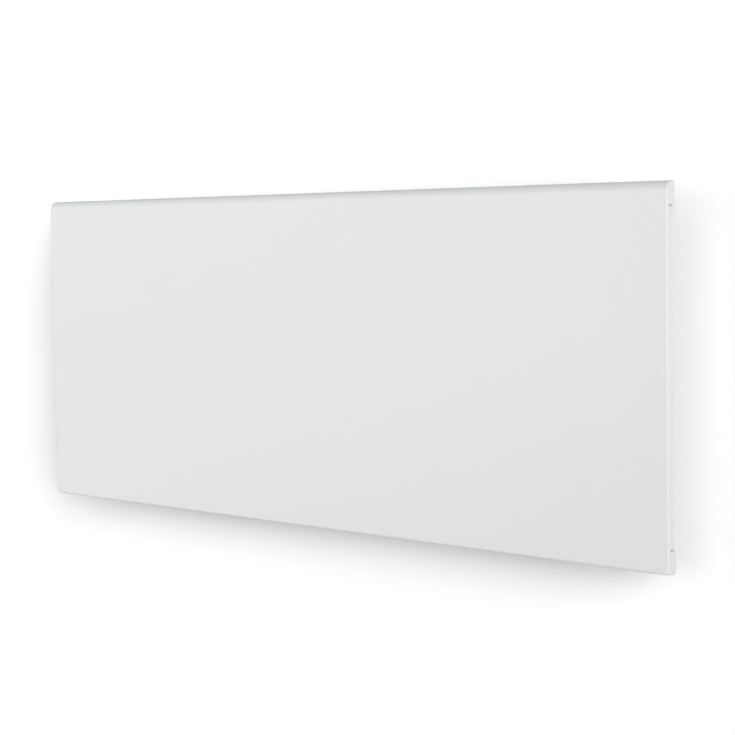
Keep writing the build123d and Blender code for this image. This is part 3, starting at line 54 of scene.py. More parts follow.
# Stage and light
FLOOR_Z = -0.75
STAGE_REACH = 4.0
WALL_BEHIND = 0.0005
FLOOR_COLOUR = (0.88, 0.88, 0.87)
FLOOR_GLOW = 0.30
WALL_COLOUR = (0.53, 0.53, 0.53)
SKY_LEVEL = 0.31
KEY_PLACE = (-2.2, -3.6, 0.45)
KEY_SIZE = 1.8
KEY_WATTS = 44.0
SIDE_AZIMUTH = 58.0
SIDE_ELEVATION = 4.0
SIDE_SPREAD = 30.0
SIDE_STRENGTH = 1.93
WALL_RIGHT_AZIMUTH = 63.0
WALL_RIGHT_SPREAD = 44.0
WALL_RIGHT_STRENGTH = 5.3
WALL_FRONT_AZIMUTH = 18.0
WALL_FRONT_SPREAD = 50.0
WALL_FRONT_STRENGTH = 1.45
WALL_LIGHT_ELEVATION = 16.0
REAR_PLACE = (0.9, 3.4, 0.2)
REAR_SIZE = 3.0
REAR_WATTS = 40.0

# Front panel: one folded sheet
HALF_WIDTH = 0.5125
HALF_HEIGHT = 0.200
FRONT_Y = -0.080
RETURN_REAR_Y = -0.0701
EAR_REAR_Y = -0.067
SHEET = 0.001
TOP_BEND = 0.010
BOTTOM_BEND = 0.0035
SIDE_BEND = 0.0023
EAR_HEIGHT = 0.0245
SLIT_HEIGHT = 0.0014
SLIT_FRONT_Y = -0.0765
EAR_TOP_CORNER = 0.0035
EAR_BOTTOM_CORNER = 0.005
PAINTED_EDGE = 0.00012
BEND_STEPS = 10
FRONT_COLUMNS = 40
FRONT_ROWS = 16

# Rolled hems and the plates behind the slits
HEM_RADIUS = 0.0011
HEM_SIDES = 24
SLIT_PLATE_THICKNESS = 0.0008
SLIT_PLATE_GAP = 0.0001
SLIT_PLATE_HEIGHT = 0.006
SLIT_PLATE_FRONT_Y = -0.0785
SLIT_PLATE_REAR_Y = -0.0692

# Markings of the controls
INK_WHITE = (0.80, 0.80, 0.79)
INK_DARK = (0.10, 0.10, 0.11)
INK_HEIGHT = 0.00006
POINTER_INNER = 0.0053
POINTER_OUTER = 0.0094
POINTER_WIDTH = 0.0010
POINTER_SUNK = 0.0006
POINTER_HEIGHT = 0.00045
KNOB_TRAVEL = math.radians(270)
SCALE_BARS = 11
SCALE_RADIUS = 0.0140
SCALE_SHORTEST = 0.0007
SCALE_LONGEST = 0.0022
SCALE_BAR_WIDTH = 0.0006
MARK_FROM_MIDDLE = 0.0047
MARK_SIZE = 0.0026
MARK_LINE = 0.0005
RING_STEPS = 28

# Finishes
PANEL_WHITE = (0.791, 0.807, 0.823)
WIRE_BROWN = (0.16, 0.070, 0.035)
WIRE_BLUE = (0.045, 0.12, 0.36)
SOFT_EDGE = 0.00025
SOFT_EDGE_SAMPLES = 6
EDGE_START = 0.99
EDGE_FULL = 0.80
WAVE_AT_SCALE_ONE = math.pi / 10

# Meshes
WELD = 0.000002
SHARP_ANGLE = math.radians(32)
SOFTENED_ANGLE = math.radians(60)
SOFTENED_STEPS = 2


class Finish:
    """A Principled material whose colour, roughness and bump are driven by procedural layers."""

    def __init__(self, name, metallic=0.0):
        self.material = bpy.data.materials.new(name)
        self.material.use_nodes = True
        self.tree = self.material.node_tree
        self.shader = self.tree.nodes["Principled BSDF"]
        self.shader.inputs["Metallic"].default_value = metallic
        self.place = self.add("ShaderNodeTexCoord").outputs["Object"]

    def add(self, kind, **settings):
        """A new node of this kind, with its own settings."""
        node = self.tree.nodes.new(kind)
        for name, value in settings.items():
            setattr(node, name, value)
        return node

    def feed(self, value, socket):
        """Links value if it is a socket, and writes it as a constant otherwise."""
        if isinstance(value, bpy.types.NodeSocket):
            self.tree.links.new(value, socket)
        else:
            socket.default_value = value

    def point(self, stretch):
        """The place on the piece, scaled along each axis where stretch is given."""
        if stretch is None:
            return self.place
        mapping = self.add("ShaderNodeMapping")
        self.feed(self.place, mapping.inputs["Vector"])
        mapping.inputs["Scale"].default_value = stretch
        return mapping.outputs["Vector"]

    def noise(self, size, detail=2.0, stretch=None):
        """Soft blobs about size metres across, 0 to 1."""
        node = self.add("ShaderNodeTexNoise")
        node.inputs["Scale"].default_value = 1 / size
        node.inputs["Detail"].default_value = detail
        self.feed(self.point(stretch), node.inputs["Vector"])
        return node.outputs["Fac"]

    def warped(self, size, amount):
        """The place pushed about by up to amount metres, so that cells lose their straight sides."""
        node = self.add("ShaderNodeTexNoise")
        node.inputs["Scale"].default_value = 1 / size
        self.feed(self.place, node.inputs["Vector"])
        push = self.add("ShaderNodeVectorMath", operation="MULTIPLY_ADD")
        self.feed(node.outputs["Color"], push.inputs[0])
        push.inputs[1].default_value = (amount, amount, amount)
        self.feed(self.place, push.inputs[2])
        return push.outputs["Vector"]

    def cells(self, size, output="Color", place=None):
        """Crystal-like cells about size metres across."""
        node = self.add("ShaderNodeTexVoronoi")
        node.inputs["Scale"].default_value = 1 / size
        self.feed(place or self.place, node.inputs["Vector"])
        return node.outputs[output]

    def waves(self, size, direction):
        """Even ridges size metres apart along one axis."""
        node = self.add("ShaderNodeTexWave", bands_direction=direction)
        node.inputs["Scale"].default_value = WAVE_AT_SCALE_ONE / size
        self.feed(self.place, node.inputs["Vector"])
        return node.outputs["Fac"]

    def span(self, value, low, high, start=0.0, stop=1.0):
        """Maps value from start..stop onto low..high."""
        node = self.add("ShaderNodeMapRange")
        parts = {"Value": value, "From Min": start, "From Max": stop, "To Min": low, "To Max": high}
        for name, number in parts.items():
            self.feed(number, node.inputs[name])
        return node.outputs["Result"]

    def tint(self, colour, value, amount):
        """The colour made lighter or darker by up to amount, as value goes from 0 to 1."""
        node = self.add("ShaderNodeVectorMath", operation="SCALE")
        self.feed(colour, node.inputs[0])
        self.feed(self.span(value, 1 - amount, 1 + amount), node.inputs["Scale"])
        return node.outputs["Vector"]

    def mixed(self, factor, first, second):
        """The first colour where factor is 0 and the second where it is 1."""
        node = self.add("ShaderNodeMixRGB")
        self.feed(factor, node.inputs["Fac"])
        for colour, name in ((first, "Color1"), (second, "Color2")):
            plain = not isinstance(colour, bpy.types.NodeSocket)
            self.feed((*colour, 1) if plain else colour, node.inputs[name])
        return node.outputs["Color"]

    def rounded(self, radius):
        """The normal of the surface, as if its edges were rounded to this radius."""
        node = self.add("ShaderNodeBevel", samples=SOFT_EDGE_SAMPLES)
        node.inputs["Radius"].default_value = radius
        return node.outputs["Normal"]

    def edges(self, width):
        """1 along the sharp edges of the piece, 0 elsewhere."""
        lean = self.add("ShaderNodeVectorMath", operation="DOT_PRODUCT")
        self.feed(self.rounded(width), lean.inputs[0])
        self.feed(self.add("ShaderNodeNewGeometry").outputs["Normal"], lean.inputs[1])
        return self.span(lean.outputs["Value"], 1.0, 0.0, EDGE_FULL, EDGE_START)

    def colour(self, value):
        """Sets the base colour."""
        self.feed(value, self.shader.inputs["Base Color"])

    def roughness(self, value, low, high):
        """Roughness from low to high, as value goes from 0 to 1."""
        self.feed(self.span(value, low, high), self.shader.inputs["Roughness"])

    def bumps(self, *layers):
        """Height layers over slightly rounded edges: each a value and its full depth in metres."""
        normal = self.rounded(SOFT_EDGE)
        for height, depth in layers:
            node = self.add("ShaderNodeBump")
            node.inputs["Distance"].default_value = depth
            self.feed(height, node.inputs["Height"])
            self.feed(normal, node.inputs["Normal"])
            normal = node.outputs["Normal"]
        self.feed(normal, self.shader.inputs["Normal"])

    def set(self, **sockets):
        """Constants on the shader's own sockets, their names written with underscores."""
        for name, value in sockets.items():
            self.shader.inputs[name.replace("_", " ")].default_value = value
        return self


# Metals and paints

def powder_coat(name, colour):
    """Satin powder coat: faint orange peel and a very slight drift in tone."""
    f = Finish(name)
    toned = f.tint(colour, f.noise(0.30, 1.0), 0.004)
    f.colour(f.tint(toned, f.noise(0.0009, 3.0), 0.010))
    f.roughness(f.noise(0.006), 0.40, 0.50)
    f.bumps((f.noise(0.0016, 1.0), 0.000022), (f.noise(0.0004, 1.0), 0.000005))
    return f.material


def galvanised(name, colour, spangle):
    """Hot-dip zinc: crystal spangle, cloudy patches and brighter cut edges."""
    f = Finish(name, metallic=0.8)
    bent = f.warped(spangle * 0.6, spangle * 0.7)
    grain = f.cells(spangle, place=bent)
    fine = f.cells(spangle * 0.35, place=bent)
    cloud = f.noise(0.045, 3.0)
    toned = f.tint(f.tint(f.tint(colour, grain, 0.10), fine, 0.06), cloud, 0.07)
    f.colour(f.mixed(f.edges(0.0008), toned, (0.70, 0.71, 0.72)))
    f.roughness(grain, 0.48, 0.66)
    f.bumps((grain, 0.000010), (f.noise(0.0008), 0.000008), (cloud, 0.00006))
    return f.material


def bright_metal(name, colour, low, high, stretch, grain=0.0009):
    """Drawn, rolled or machined metal, with grain along its stretched axis and rubbed edges."""
    f = Finish(name, metallic=1.0)
    lines = f.noise(grain, 3.0, stretch)
    stain = f.noise(0.012, 2.0)
    toned = f.tint(f.tint(colour, lines, 0.10), stain, 0.07)
    lighter = tuple(min(1.0, part * 1.15) for part in colour)
    f.colour(f.mixed(f.edges(0.0004), toned, lighter))
    f.roughness(lines, low, high)
    f.bumps((lines, 0.000012), (stain, 0.00002))
    return f.material


def tempered_steel(name):
    """Blued spring steel, its temper colours running from straw to blue."""
    f = Finish(name, metallic=1.0)
    temper = f.span(f.noise(0.010, 1.0), 0.0, 1.0, 0.35, 0.65)
    toned = f.mixed(temper, (0.24, 0.25, 0.30), (0.34, 0.29, 0.22))
    f.colour(f.mixed(f.edges(0.0004), toned, (0.52, 0.52, 0.53)))
    f.roughness(f.noise(0.002), 0.24, 0.40)
    f.bumps((f.noise(0.0005, 2.0, (0.2, 1, 1)), 0.000008))
    return f.material


def brushed_foil(name):
    """Bare aluminium foil label: brushed across its length, with faint handling marks."""
    f = Finish(name, metallic=0.9)
    brush = f.noise(0.0006, 3.0, (0.03, 1, 1))
    marks = f.span(f.noise(0.008, 4.0), 0.0, 1.0, 0.45, 0.70)
    f.colour(f.tint(f.tint((0.66, 0.67, 0.68), brush, 0.10), marks, 0.05))
    f.roughness(marks, 0.48, 0.62)
    f.bumps((brush, 0.000006), (f.noise(0.014), 0.00003))
    return f.material


# Plastics, rubber, ceramic

def moulded(name, colour, low, high, texture=0.0007, depth=0.000012):
    """Injection-moulded plastic: fine spark-eroded texture, soft flow marks and rubbed edges."""
    f = Finish(name)
    flow = f.noise(0.030, 1.0)
    texture_height = f.noise(texture, 2.0)
    toned = f.tint(f.tint(colour, flow, 0.03), texture_height, 0.03)
    lighter = tuple(part + (1 - part) * 0.06 for part in colour)
    f.colour(f.mixed(f.edges(0.0004), toned, lighter))
    f.roughness(f.noise(0.003), low, high)
    f.bumps((texture_height, depth), (flow, 0.00004))
    return f.material


def rubber(name, colour):
    """Matt rubber with a dusty bloom and a fine moulded skin."""
    f = Finish(name)
    bloom = f.span(f.noise(0.006, 4.0), 0.0, 0.35, 0.45, 0.75)
    f.colour(f.mixed(bloom, f.tint(colour, f.noise(0.0006), 0.15), (0.16, 0.16, 0.155)))
    f.roughness(f.noise(0.002), 0.72, 0.88)
    f.bumps((f.noise(0.0004, 2.0), 0.00002), (f.noise(0.004), 0.00005))
    return f.set(Specular_IOR_Level=0.35).material


def ceramic(name):
    """Fired steatite: warm white, pin-holed and slightly glossy, with painted shade darkening its pits."""
    f = Finish(name)
    pit_shade_and_depth = f.span(f.cells(0.0011, output="Distance"), 0.0, 1.0, 0.0, 0.35)
    warm = f.tint((0.80, 0.77, 0.69), f.noise(0.008, 3.0), 0.05)
    # Darker colour in the pits: painted shade.
    f.colour(f.mixed(f.span(pit_shade_and_depth, 0.5, 0.0), warm, (0.55, 0.50, 0.42)))
    f.roughness(f.noise(0.003), 0.32, 0.48)
    f.bumps((pit_shade_and_depth, 0.00003), (f.noise(0.0005), 0.00001))
    return f.material


def phenolic(name):
    """Dark phenolic moulding with pale filler specks."""
    f = Finish(name)
    specks = f.span(f.cells(0.0008, output="Distance"), 1.0, 0.0, 0.10, 0.26)
    base = f.tint((0.045, 0.028, 0.020), f.noise(0.004, 3.0), 0.25)
    f.colour(f.mixed(f.span(specks, 0.0, 0.35), base, (0.20, 0.15, 0.11)))
    f.roughness(f.noise(0.002), 0.25, 0.42)
    f.bumps((f.noise(0.0006), 0.00001))
    return f.material


def laminate(name):
    """Circuit board laminate: green mask over a woven glass cloth."""
    f = Finish(name)
    warp = f.waves(0.0008, "X")
    weft = f.waves(0.0008, "Y")
    cloth = f.add("ShaderNodeMath", operation="MULTIPLY")
    f.feed(warp, cloth.inputs[0])
    f.feed(weft, cloth.inputs[1])
    weave = cloth.outputs["Value"]
    mask = f.tint((0.020, 0.135, 0.060), weave, 0.12)
    f.colour(f.mixed(f.edges(0.0003), f.tint(mask, f.noise(0.010), 0.08), (0.42, 0.38, 0.24)))
    f.roughness(f.noise(0.003), 0.22, 0.34)
    f.bumps((weave, 0.00002), (f.noise(0.002), 0.00001))
    return f.material


def components(name):
    """Dark moulded component bodies, satin, with a grain of fine filler."""
    f = Finish(name)
    filler = f.noise(0.0003, 2.0)
    f.colour(f.tint(f.tint((0.035, 0.036, 0.040), filler, 0.30), f.noise(0.008), 0.15))
    f.roughness(filler, 0.35, 0.52)
    f.bumps((filler, 0.00001))
    return f.material


def amber_lens(name):
    """Amber light pipe, a little clear and finely stippled."""
    f = Finish(name)
    stipple = f.cells(0.0005, output="Distance")
    f.colour(f.tint((1.0, 0.34, 0.03), f.noise(0.002), 0.08))
    f.roughness(stipple, 0.05, 0.18)
    f.bumps((stipple, 0.00003))
    return f.set(Transmission_Weight=0.12, IOR=1.49).material


def silicone(name, colour):
    """Extruded silicone sleeve: soft gloss, dust and slight flow rings."""
    f = Finish(name)
    dust = f.span(f.noise(0.004, 3.0), 0.0, 0.18, 0.40, 0.75)
    f.colour(f.mixed(dust, f.tint(colour, f.noise(0.0015), 0.05), (0.62, 0.61, 0.59)))
    f.roughness(f.noise(0.002), 0.42, 0.58)
    f.bumps((f.noise(0.0009), 0.00002))
    return f.set(Subsurface_Weight=0.05).material


def striped_silicone(name):
    """Green sleeve with yellow stripes along it."""
    f = Finish(name)
    stripe = f.span(f.waves(0.0026, "X"), 0.0, 1.0, 0.55, 0.62)
    f.colour(f.tint(f.mixed(stripe, (0.045, 0.26, 0.060), (0.72, 0.55, 0.035)), f.noise(0.0015), 0.05))
    f.roughness(f.noise(0.002), 0.42, 0.58)
    f.bumps((f.noise(0.0009), 0.00002))
    return f.material


def resin_bead(name):
    """Dipped epoxy bead: glossy, faintly rippled, with a few trapped bubbles."""
    f = Finish(name)
    bubbles = f.span(f.cells(0.0012, output="Distance"), 1.0, 0.0, 0.05, 0.16)
    f.colour(f.mixed(f.span(bubbles, 0.0, 0.4), (0.030, 0.032, 0.036), (0.12, 0.12, 0.13)))
    f.roughness(f.noise(0.002), 0.10, 0.22)
    f.bumps((f.noise(0.003), 0.00008), (bubbles, 0.00003))
    return f.material


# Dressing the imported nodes

def dress(material, *names):
    """Gives the named CAD nodes this one material."""
    for name in names:
        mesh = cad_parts[name].data
        mesh.materials.clear()
        mesh.materials.append(material)


def dress_sheet_metal():
    """The grille, the casing, the wall bracket, the heat shields, the clips and the plate."""
    dress(powder_coat("grille_powder_coat", PANEL_WHITE), "outlet_grille")
    dress(
        galvanised("casing_galvanised", (0.50, 0.52, 0.54), 0.009),
        "rear_casing", "casing_end_left", "casing_end_right", "partition", "panel_rail_left",
        "panel_rail_right", "hanging_lug_left", "hanging_lug_right", "element_bracket_left",
        "element_bracket_right", "element_cradle",
    )
    dress(
        galvanised("bracket_galvanised", (0.54, 0.56, 0.58), 0.006),
        "bracket_upright_left", "bracket_upright_right", "bracket_rail_top", "bracket_rail_bottom",
    )
    dress(
        bright_metal("shield_aluminium", (0.80, 0.81, 0.82), 0.18, 0.34, (0.03, 1, 1)),
        "rear_heat_shield", "front_heat_shield",
    )
    dress(tempered_steel("spring_steel"), "catch_clips")
    dress(brushed_foil("plate_foil"), "rating_plate")


def dress_fasteners_and_metal():
    """Screws and rivets, the heating element, pins and pegs, and the brass parts."""
    dress(
        bright_metal("zinc_plated_steel", (0.57, 0.58, 0.60), 0.28, 0.44, (1, 1, 1)),
        "casing_screws", "control_screws",
    )
    dress(
        bright_metal("rivet_aluminium", (0.61, 0.62, 0.63), 0.34, 0.52, (1, 1, 1)),
        "casing_rivets", "bracket_rivets", "element_rivets",
    )
    dress(
        bright_metal("element_aluminium", (0.60, 0.61, 0.62), 0.34, 0.55, (0.05, 1, 1)),
        "element_profile",
    )
    dress(
        bright_metal("rod_steel", (0.56, 0.56, 0.57), 0.20, 0.36, (0.1, 1, 1)),
        "element_rod", "pivot_pins", "catch_pegs",
    )
    dress(
        bright_metal("terminal_brass", (0.74, 0.58, 0.30), 0.22, 0.42, (1, 1, 0.2)),
        "element_terminals", "terminal_screws", "switch_terminals", "earth_stud",
    )


def dress_plastics():
    """Mouldings, the circuit board, and the ceramic, resin and rubber parts."""
    dress(ceramic("insulator_ceramic"), "element_insulators")
    dress(moulded("housing_plastic", (0.42, 0.43, 0.44), 0.42, 0.56), "control_housing")
    dress(moulded("cover_plastic", (0.72, 0.73, 0.74), 0.36, 0.50), "control_cover")
    dress(laminate("board_laminate"), "circuit_board")
    dress(components("component_plastic"), "board_components", "potentiometer")
    dress(amber_lens("lens_plastic"), "indicator_lens")
    dress(moulded("shaft_plastic", (0.50, 0.50, 0.49), 0.36, 0.50), "thermostat_shaft")
    dress(moulded("knob_plastic", (0.10, 0.105, 0.115), 0.40, 0.54), "thermostat_knob")
    dress(moulded("switch_plastic", (0.030, 0.030, 0.033), 0.28, 0.42), "switch_body", "switch_rocker")
    dress(
        moulded("gland_plastic", (0.70, 0.71, 0.72), 0.36, 0.52),
        "cable_gland", "gland_cap", "gland_locknut",
    )
    dress(moulded("block_plastic", (0.74, 0.73, 0.68), 0.34, 0.48), "terminal_block")
    dress(phenolic("cutout_phenolic"), "overheat_cutout")
    dress(moulded("clip_plastic", (0.75, 0.75, 0.73), 0.40, 0.55), "sensor_clip")
    dress(resin_bead("sensor_epoxy"), "room_sensor")
    dress(rubber("seal_rubber", (0.030, 0.030, 0.030)), "gland_seal")
    dress(rubber("buffer_rubber", (0.038, 0.038, 0.037)), "wall_buffers")


def dress_wires():
    """The runs of wire that are one colour each."""
    dress(silicone("wire_brown", WIRE_BROWN), "switched_wire")
    dress(silicone("wire_grey", (0.30, 0.30, 0.31)), "sensor_lead")
    dress(silicone("wire_red", (0.42, 0.045, 0.035)), "cutout_lead", "element_lead")
    dress(silicone("wire_blue", WIRE_BLUE), "return_lead")


# Making pieces

def as_object(mesh, name):
    """Turns a bmesh into a smooth-shaded object in the scene."""
    data = bpy.data.meshes.new(name)
    mesh.to_mesh(data)
    mesh.free()
    data.polygons.foreach_set("use_smooth", [True] * len(data.polygons))
    made = bpy.data.objects.new(name, data)
    bpy.context.scene.collection.objects.link(made)
    return made


def soften(piece, width):
    """Rounds the sharp edges of a piece and keeps its flats flat."""
    bevel = piece.modifiers.new("soft_edges", "BEVEL")
    bevel.width = width
    bevel.segments = SOFTENED_STEPS
    bevel.limit_method = "ANGLE"
    bevel.angle_limit = SOFTENED_ANGLE
    weighted = piece.modifiers.new("flat_faces", "WEIGHTED_NORMAL")
    weighted.keep_sharp = True


# Front panel

def corner_arc(centre, radius, start, stop):
    """Points on an arc in Y and Z, angles in degrees from +Y towards +Z."""
    angles = [math.radians(start + (stop - start) * i / BEND_STEPS) for i in range(BEND_STEPS + 1)]
    return [(centre[0] + radius * math.cos(a), centre[1] + radius * math.sin(a)) for a in angles]


def ear_end(z, corner, side):
    """How far back the ear reaches at height z, where its rear corner is round."""
    centre_z = side * (HALF_HEIGHT - corner)
    rise = side * (z - centre_z)
    if rise <= 0:
        return EAR_REAR_Y
    return EAR_REAR_Y - corner + math.sqrt(max(0.0, corner ** 2 - rise ** 2))


def panel_line(inset, round_ears):
    """The sheet's outer line in Y and Z, inset, from the top return's rear edge to the bottom one's."""
    top = HALF_HEIGHT - inset
    top_rear = ear_end(top, EAR_TOP_CORNER, 1) if round_ears else EAR_REAR_Y
    low_rear = ear_end(-top, EAR_BOTTOM_CORNER, -1) if round_ears else EAR_REAR_Y
    top_centre = (FRONT_Y + TOP_BEND, HALF_HEIGHT - TOP_BEND)
    low_centre = (FRONT_Y + BOTTOM_BEND, -HALF_HEIGHT + BOTTOM_BEND)
    line = [(top_rear, top)]
    line += corner_arc(top_centre, TOP_BEND - inset, 90, 180)
    drop = top_centre[1] - low_centre[1]
    line += [
        (FRONT_Y + inset, top_centre[1] - drop * i / FRONT_ROWS) for i in range(1, FRONT_ROWS)
    ]
    line += corner_arc(low_centre, BOTTOM_BEND - inset, 180, 270)
    return line + [(low_rear, -top)]


def panel_columns():
    """Each column of the sheet, from left to right: its X and its line in Y and Z."""
    flat_half = HALF_WIDTH - SIDE_BEND
    columns = []
    for i in range(BEND_STEPS, 0, -1):
        turn = math.pi / 2 * i / BEND_STEPS
        x = flat_half + SIDE_BEND * math.sin(turn)
        in_ear = x > HALF_WIDTH - SHEET
        line = panel_line(SIDE_BEND * (1 - math.cos(turn)), in_ear)
        columns.append((-x, line))
    middle = panel_line(0.0, False)
    for i in range(FRONT_COLUMNS + 1):
        columns.append((flat_half * (2 * i / FRONT_COLUMNS - 1), middle))
    return columns + [(-x, line) for x, line in reversed(columns[:BEND_STEPS])]


def ear_rim(corner, side):
    """The rear edge of one ear in Y and Z, from its bend to the far side of its slit."""
    top = HALF_HEIGHT - SIDE_BEND
    centre_z = HALF_HEIGHT - corner
    shoulder = HALF_HEIGHT - EAR_HEIGHT
    start = math.degrees(math.asin((top - centre_z) / corner))
    arc = corner_arc((EAR_REAR_Y - corner, centre_z), corner, start, 0)[1:]
    slit = [
        (EAR_REAR_Y, shoulder), (SLIT_FRONT_Y, shoulder),
        (SLIT_FRONT_Y, shoulder - SLIT_HEIGHT), (RETURN_REAR_Y, shoulder - SLIT_HEIGHT),
    ]
    return [(y, side * z) for y, z in arc + slit]


def front_panel():
    """The folded sheet as one fine mesh: outer face, both side returns with their ears, then thickness."""
    mesh = bmesh.new()
    grid = [[mesh.verts.new((x, y, z)) for y, z in line] for x, line in panel_columns()]
    for left, right in zip(grid, grid[1:]):
        for j in range(len(left) - 1):
            mesh.faces.new((left[j], left[j + 1], right[j + 1], right[j]))
    rim = ear_rim(EAR_TOP_CORNER, 1) + ear_rim(EAR_BOTTOM_CORNER, -1)[::-1]
    for column in (grid[0], grid[-1]):
        x = column[0].co.x
        loop = column + [mesh.verts.new((x, y, z)) for y, z in reversed(rim)]
        mesh.faces.new(loop)
    bmesh.ops.recalc_face_normals(mesh, faces=mesh.faces)
    foremost = min(mesh.faces, key=lambda face: face.calc_center_median().y)
    if foremost.normal.y > 0:
        bmesh.ops.reverse_faces(mesh, faces=mesh.faces)
    bmesh.ops.triangulate(mesh, faces=[face for face in mesh.faces if len(face.verts) > 4])
    panel = as_object(mesh, "folded_front_panel")
    thickness = panel.modifiers.new("thickness", "SOLIDIFY")
    thickness.thickness = SHEET
    thickness.offset = -1
    thickness.use_even_offset = True
    soften(panel, PAINTED_EDGE)
    panel.data.materials.append(powder_coat("panel_powder_coat", PANEL_WHITE))
    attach(panel, "heater")
    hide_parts("front_panel")


def rolled_hems():
    """The returns' rear edges, rolled inwards between the slits."""
    mesh = bmesh.new()
    reach = 2 * (HALF_HEIGHT - EAR_HEIGHT - SLIT_HEIGHT)
    for side in (-1, 1):
        place = Matrix.Translation((side * (HALF_WIDTH - HEM_RADIUS), RETURN_REAR_Y, 0))
        bmesh.ops.create_cone(
            mesh, cap_ends=True, segments=HEM_SIDES, radius1=HEM_RADIUS, radius2=HEM_RADIUS,
            depth=reach, matrix=place,
        )
    hems = as_object(mesh, "rolled_hems")
    soften(hems, PAINTED_EDGE)
    hems.data.materials.append(bpy.data.materials["panel_powder_coat"])
    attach(hems, "heater")


def slit_plates():
    """Zinc corner plates just inside the returns, seen through the slits, where they stand in real shade;
    their zinc is darker than the casing's, which is partly painted shade.
    """
    mesh = bmesh.new()
    x = HALF_WIDTH - SHEET - SLIT_PLATE_GAP - SLIT_PLATE_THICKNESS / 2
    y = (SLIT_PLATE_FRONT_Y + SLIT_PLATE_REAR_Y) / 2
    z = HALF_HEIGHT - EAR_HEIGHT - SLIT_HEIGHT / 2
    size = (SLIT_PLATE_THICKNESS, SLIT_PLATE_REAR_Y - SLIT_PLATE_FRONT_Y, SLIT_PLATE_HEIGHT, 1)
    for side in (-1, 1):
        for end in (-1, 1):
            place = Matrix.Translation((side * x, y, end * z)) @ Matrix.Diagonal(size)
            bmesh.ops.create_cube(mesh, size=1.0, matrix=place)
    plates = as_object(mesh, "slit_plates")
    soften(plates, PAINTED_EDGE)
    # A darker zinc than the casing's, so that the slits read dark: partly painted shade.
    plates.data.materials.append(galvanised("slit_shade_galvanised", (0.42, 0.44, 0.46), 0.006))
    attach(plates, "heater")


# Supply wires, one piece to each colour

def neighbours(face):
    """The faces that share an edge with this one."""
    return [other for edge in face.edges for other in edge.link_faces]


def loose_parts(mesh):
    """The unconnected parts of a mesh, each as a list of its faces."""
    seen = set()
    parts = []
    for first in mesh.faces:
        if first in seen:
            continue
        seen.add(first)
        part = []
        to_visit = [first]
        while to_visit:
            face = to_visit.pop()
            part.append(face)
            for other in neighbours(face):
                if other not in seen:
                    seen.add(other)
                    to_visit.append(other)
        parts.append(part)
    return parts


def foot_x(part):
    """Where across the heater the lowest point of a part lies."""
    return min((vertex.co.z, vertex.co.x) for face in part for vertex in face.verts)[1]


def supply_wires():
    """The three supply wires as pieces of their own, told apart by where their feet lie."""
    whole = bmesh.new()
    whole.from_mesh(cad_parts["supply_wires"].data)
    bmesh.ops.remove_doubles(whole, verts=whole.verts, dist=WELD)
    parts = sorted(loose_parts(whole), key=foot_x)
    finishes = (
        ("supply_wire_live", silicone("wire_live", WIRE_BROWN)),
        ("supply_wire_earth", striped_silicone("wire_earth")),
        ("supply_wire_neutral", silicone("wire_neutral", WIRE_BLUE)),
    )
    for part, (name, material) in zip(parts, finishes):
        mesh = bmesh.new()
        corners = dict.fromkeys(vertex for face in part for vertex in face.verts)
        copies = {vertex: mesh.verts.new(vertex.co) for vertex in corners}
        for face in part:
            mesh.faces.new([copies[vertex] for vertex in face.verts])
        wire = as_object(mesh, name)
        wire.data.set_sharp_from_angle(angle=SHARP_ANGLE)
        wire.data.materials.append(material)
        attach(wire, "heater")
        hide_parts("supply_wires")
    whole.free()


# Markings of the controls: a pointer, a plain rising scale, and the two usual switch marks

def bar(mesh, centre, along, across, up, length, width, height):
    """Adds a flat bar standing on centre."""
    corners = []
    for rise in (0, height):
        for a, b in ((-1, -1), (1, -1), (1, 1), (-1, 1)):
            corner = centre + along * (a * length / 2) + across * (b * width / 2) + up * rise
            corners.append(mesh.verts.new(corner))
    for loop in ((3, 2, 1, 0), (4, 5, 6, 7), (0, 1, 5, 4), (1, 2, 6, 5), (2, 3, 7, 6), (3, 0, 4, 7)):
        mesh.faces.new([corners[i] for i in loop])


def ring(mesh, centre, along, across, up, radius, width, height):
    """Adds a flat ring standing on centre."""
    rims = []
    for distance, rise in ((0, 0), (width, 0), (width, height), (0, height)):
        rims.append([
            mesh.verts.new(
                centre + up * rise
                + along * ((radius - distance) * math.cos(turn))
                + across * ((radius - distance) * math.sin(turn))
            )
            for turn in (2 * math.pi * i / RING_STEPS for i in range(RING_STEPS))
        ])
    for low, high in zip(rims, rims[1:] + rims[:1]):
        for i in range(RING_STEPS):
            j = (i + 1) % RING_STEPS
            mesh.faces.new((low[i], low[j], high[j], high[i]))


def marking(mesh, name, body, colour):
    """Makes a printed mark of the mesh, in one colour of ink."""
    bmesh.ops.recalc_face_normals(mesh, faces=mesh.faces)
    made = as_object(mesh, name)
    made.data.set_sharp_from_angle(angle=SHARP_ANGLE)
    made.data.materials.append(moulded(name + "_ink", colour, 0.40, 0.55))
    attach(made, body)


def knob_pointer():
    """A line let into the knob's top, near its rim."""
    mesh = bmesh.new()
    low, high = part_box("thermostat_knob")
    middle = (POINTER_INNER + POINTER_OUTER) / 2
    centre = Vector(((low.x + high.x) / 2, (low.y + high.y) / 2 - middle, high.z - POINTER_SUNK))
    bar(
        mesh, centre, Vector((0, 1, 0)), Vector((-1, 0, 0)), Vector((0, 0, 1)),
        POINTER_OUTER - POINTER_INNER, POINTER_WIDTH, POINTER_HEIGHT,
    )
    marking(mesh, "knob_pointer", "thermostat", INK_WHITE)


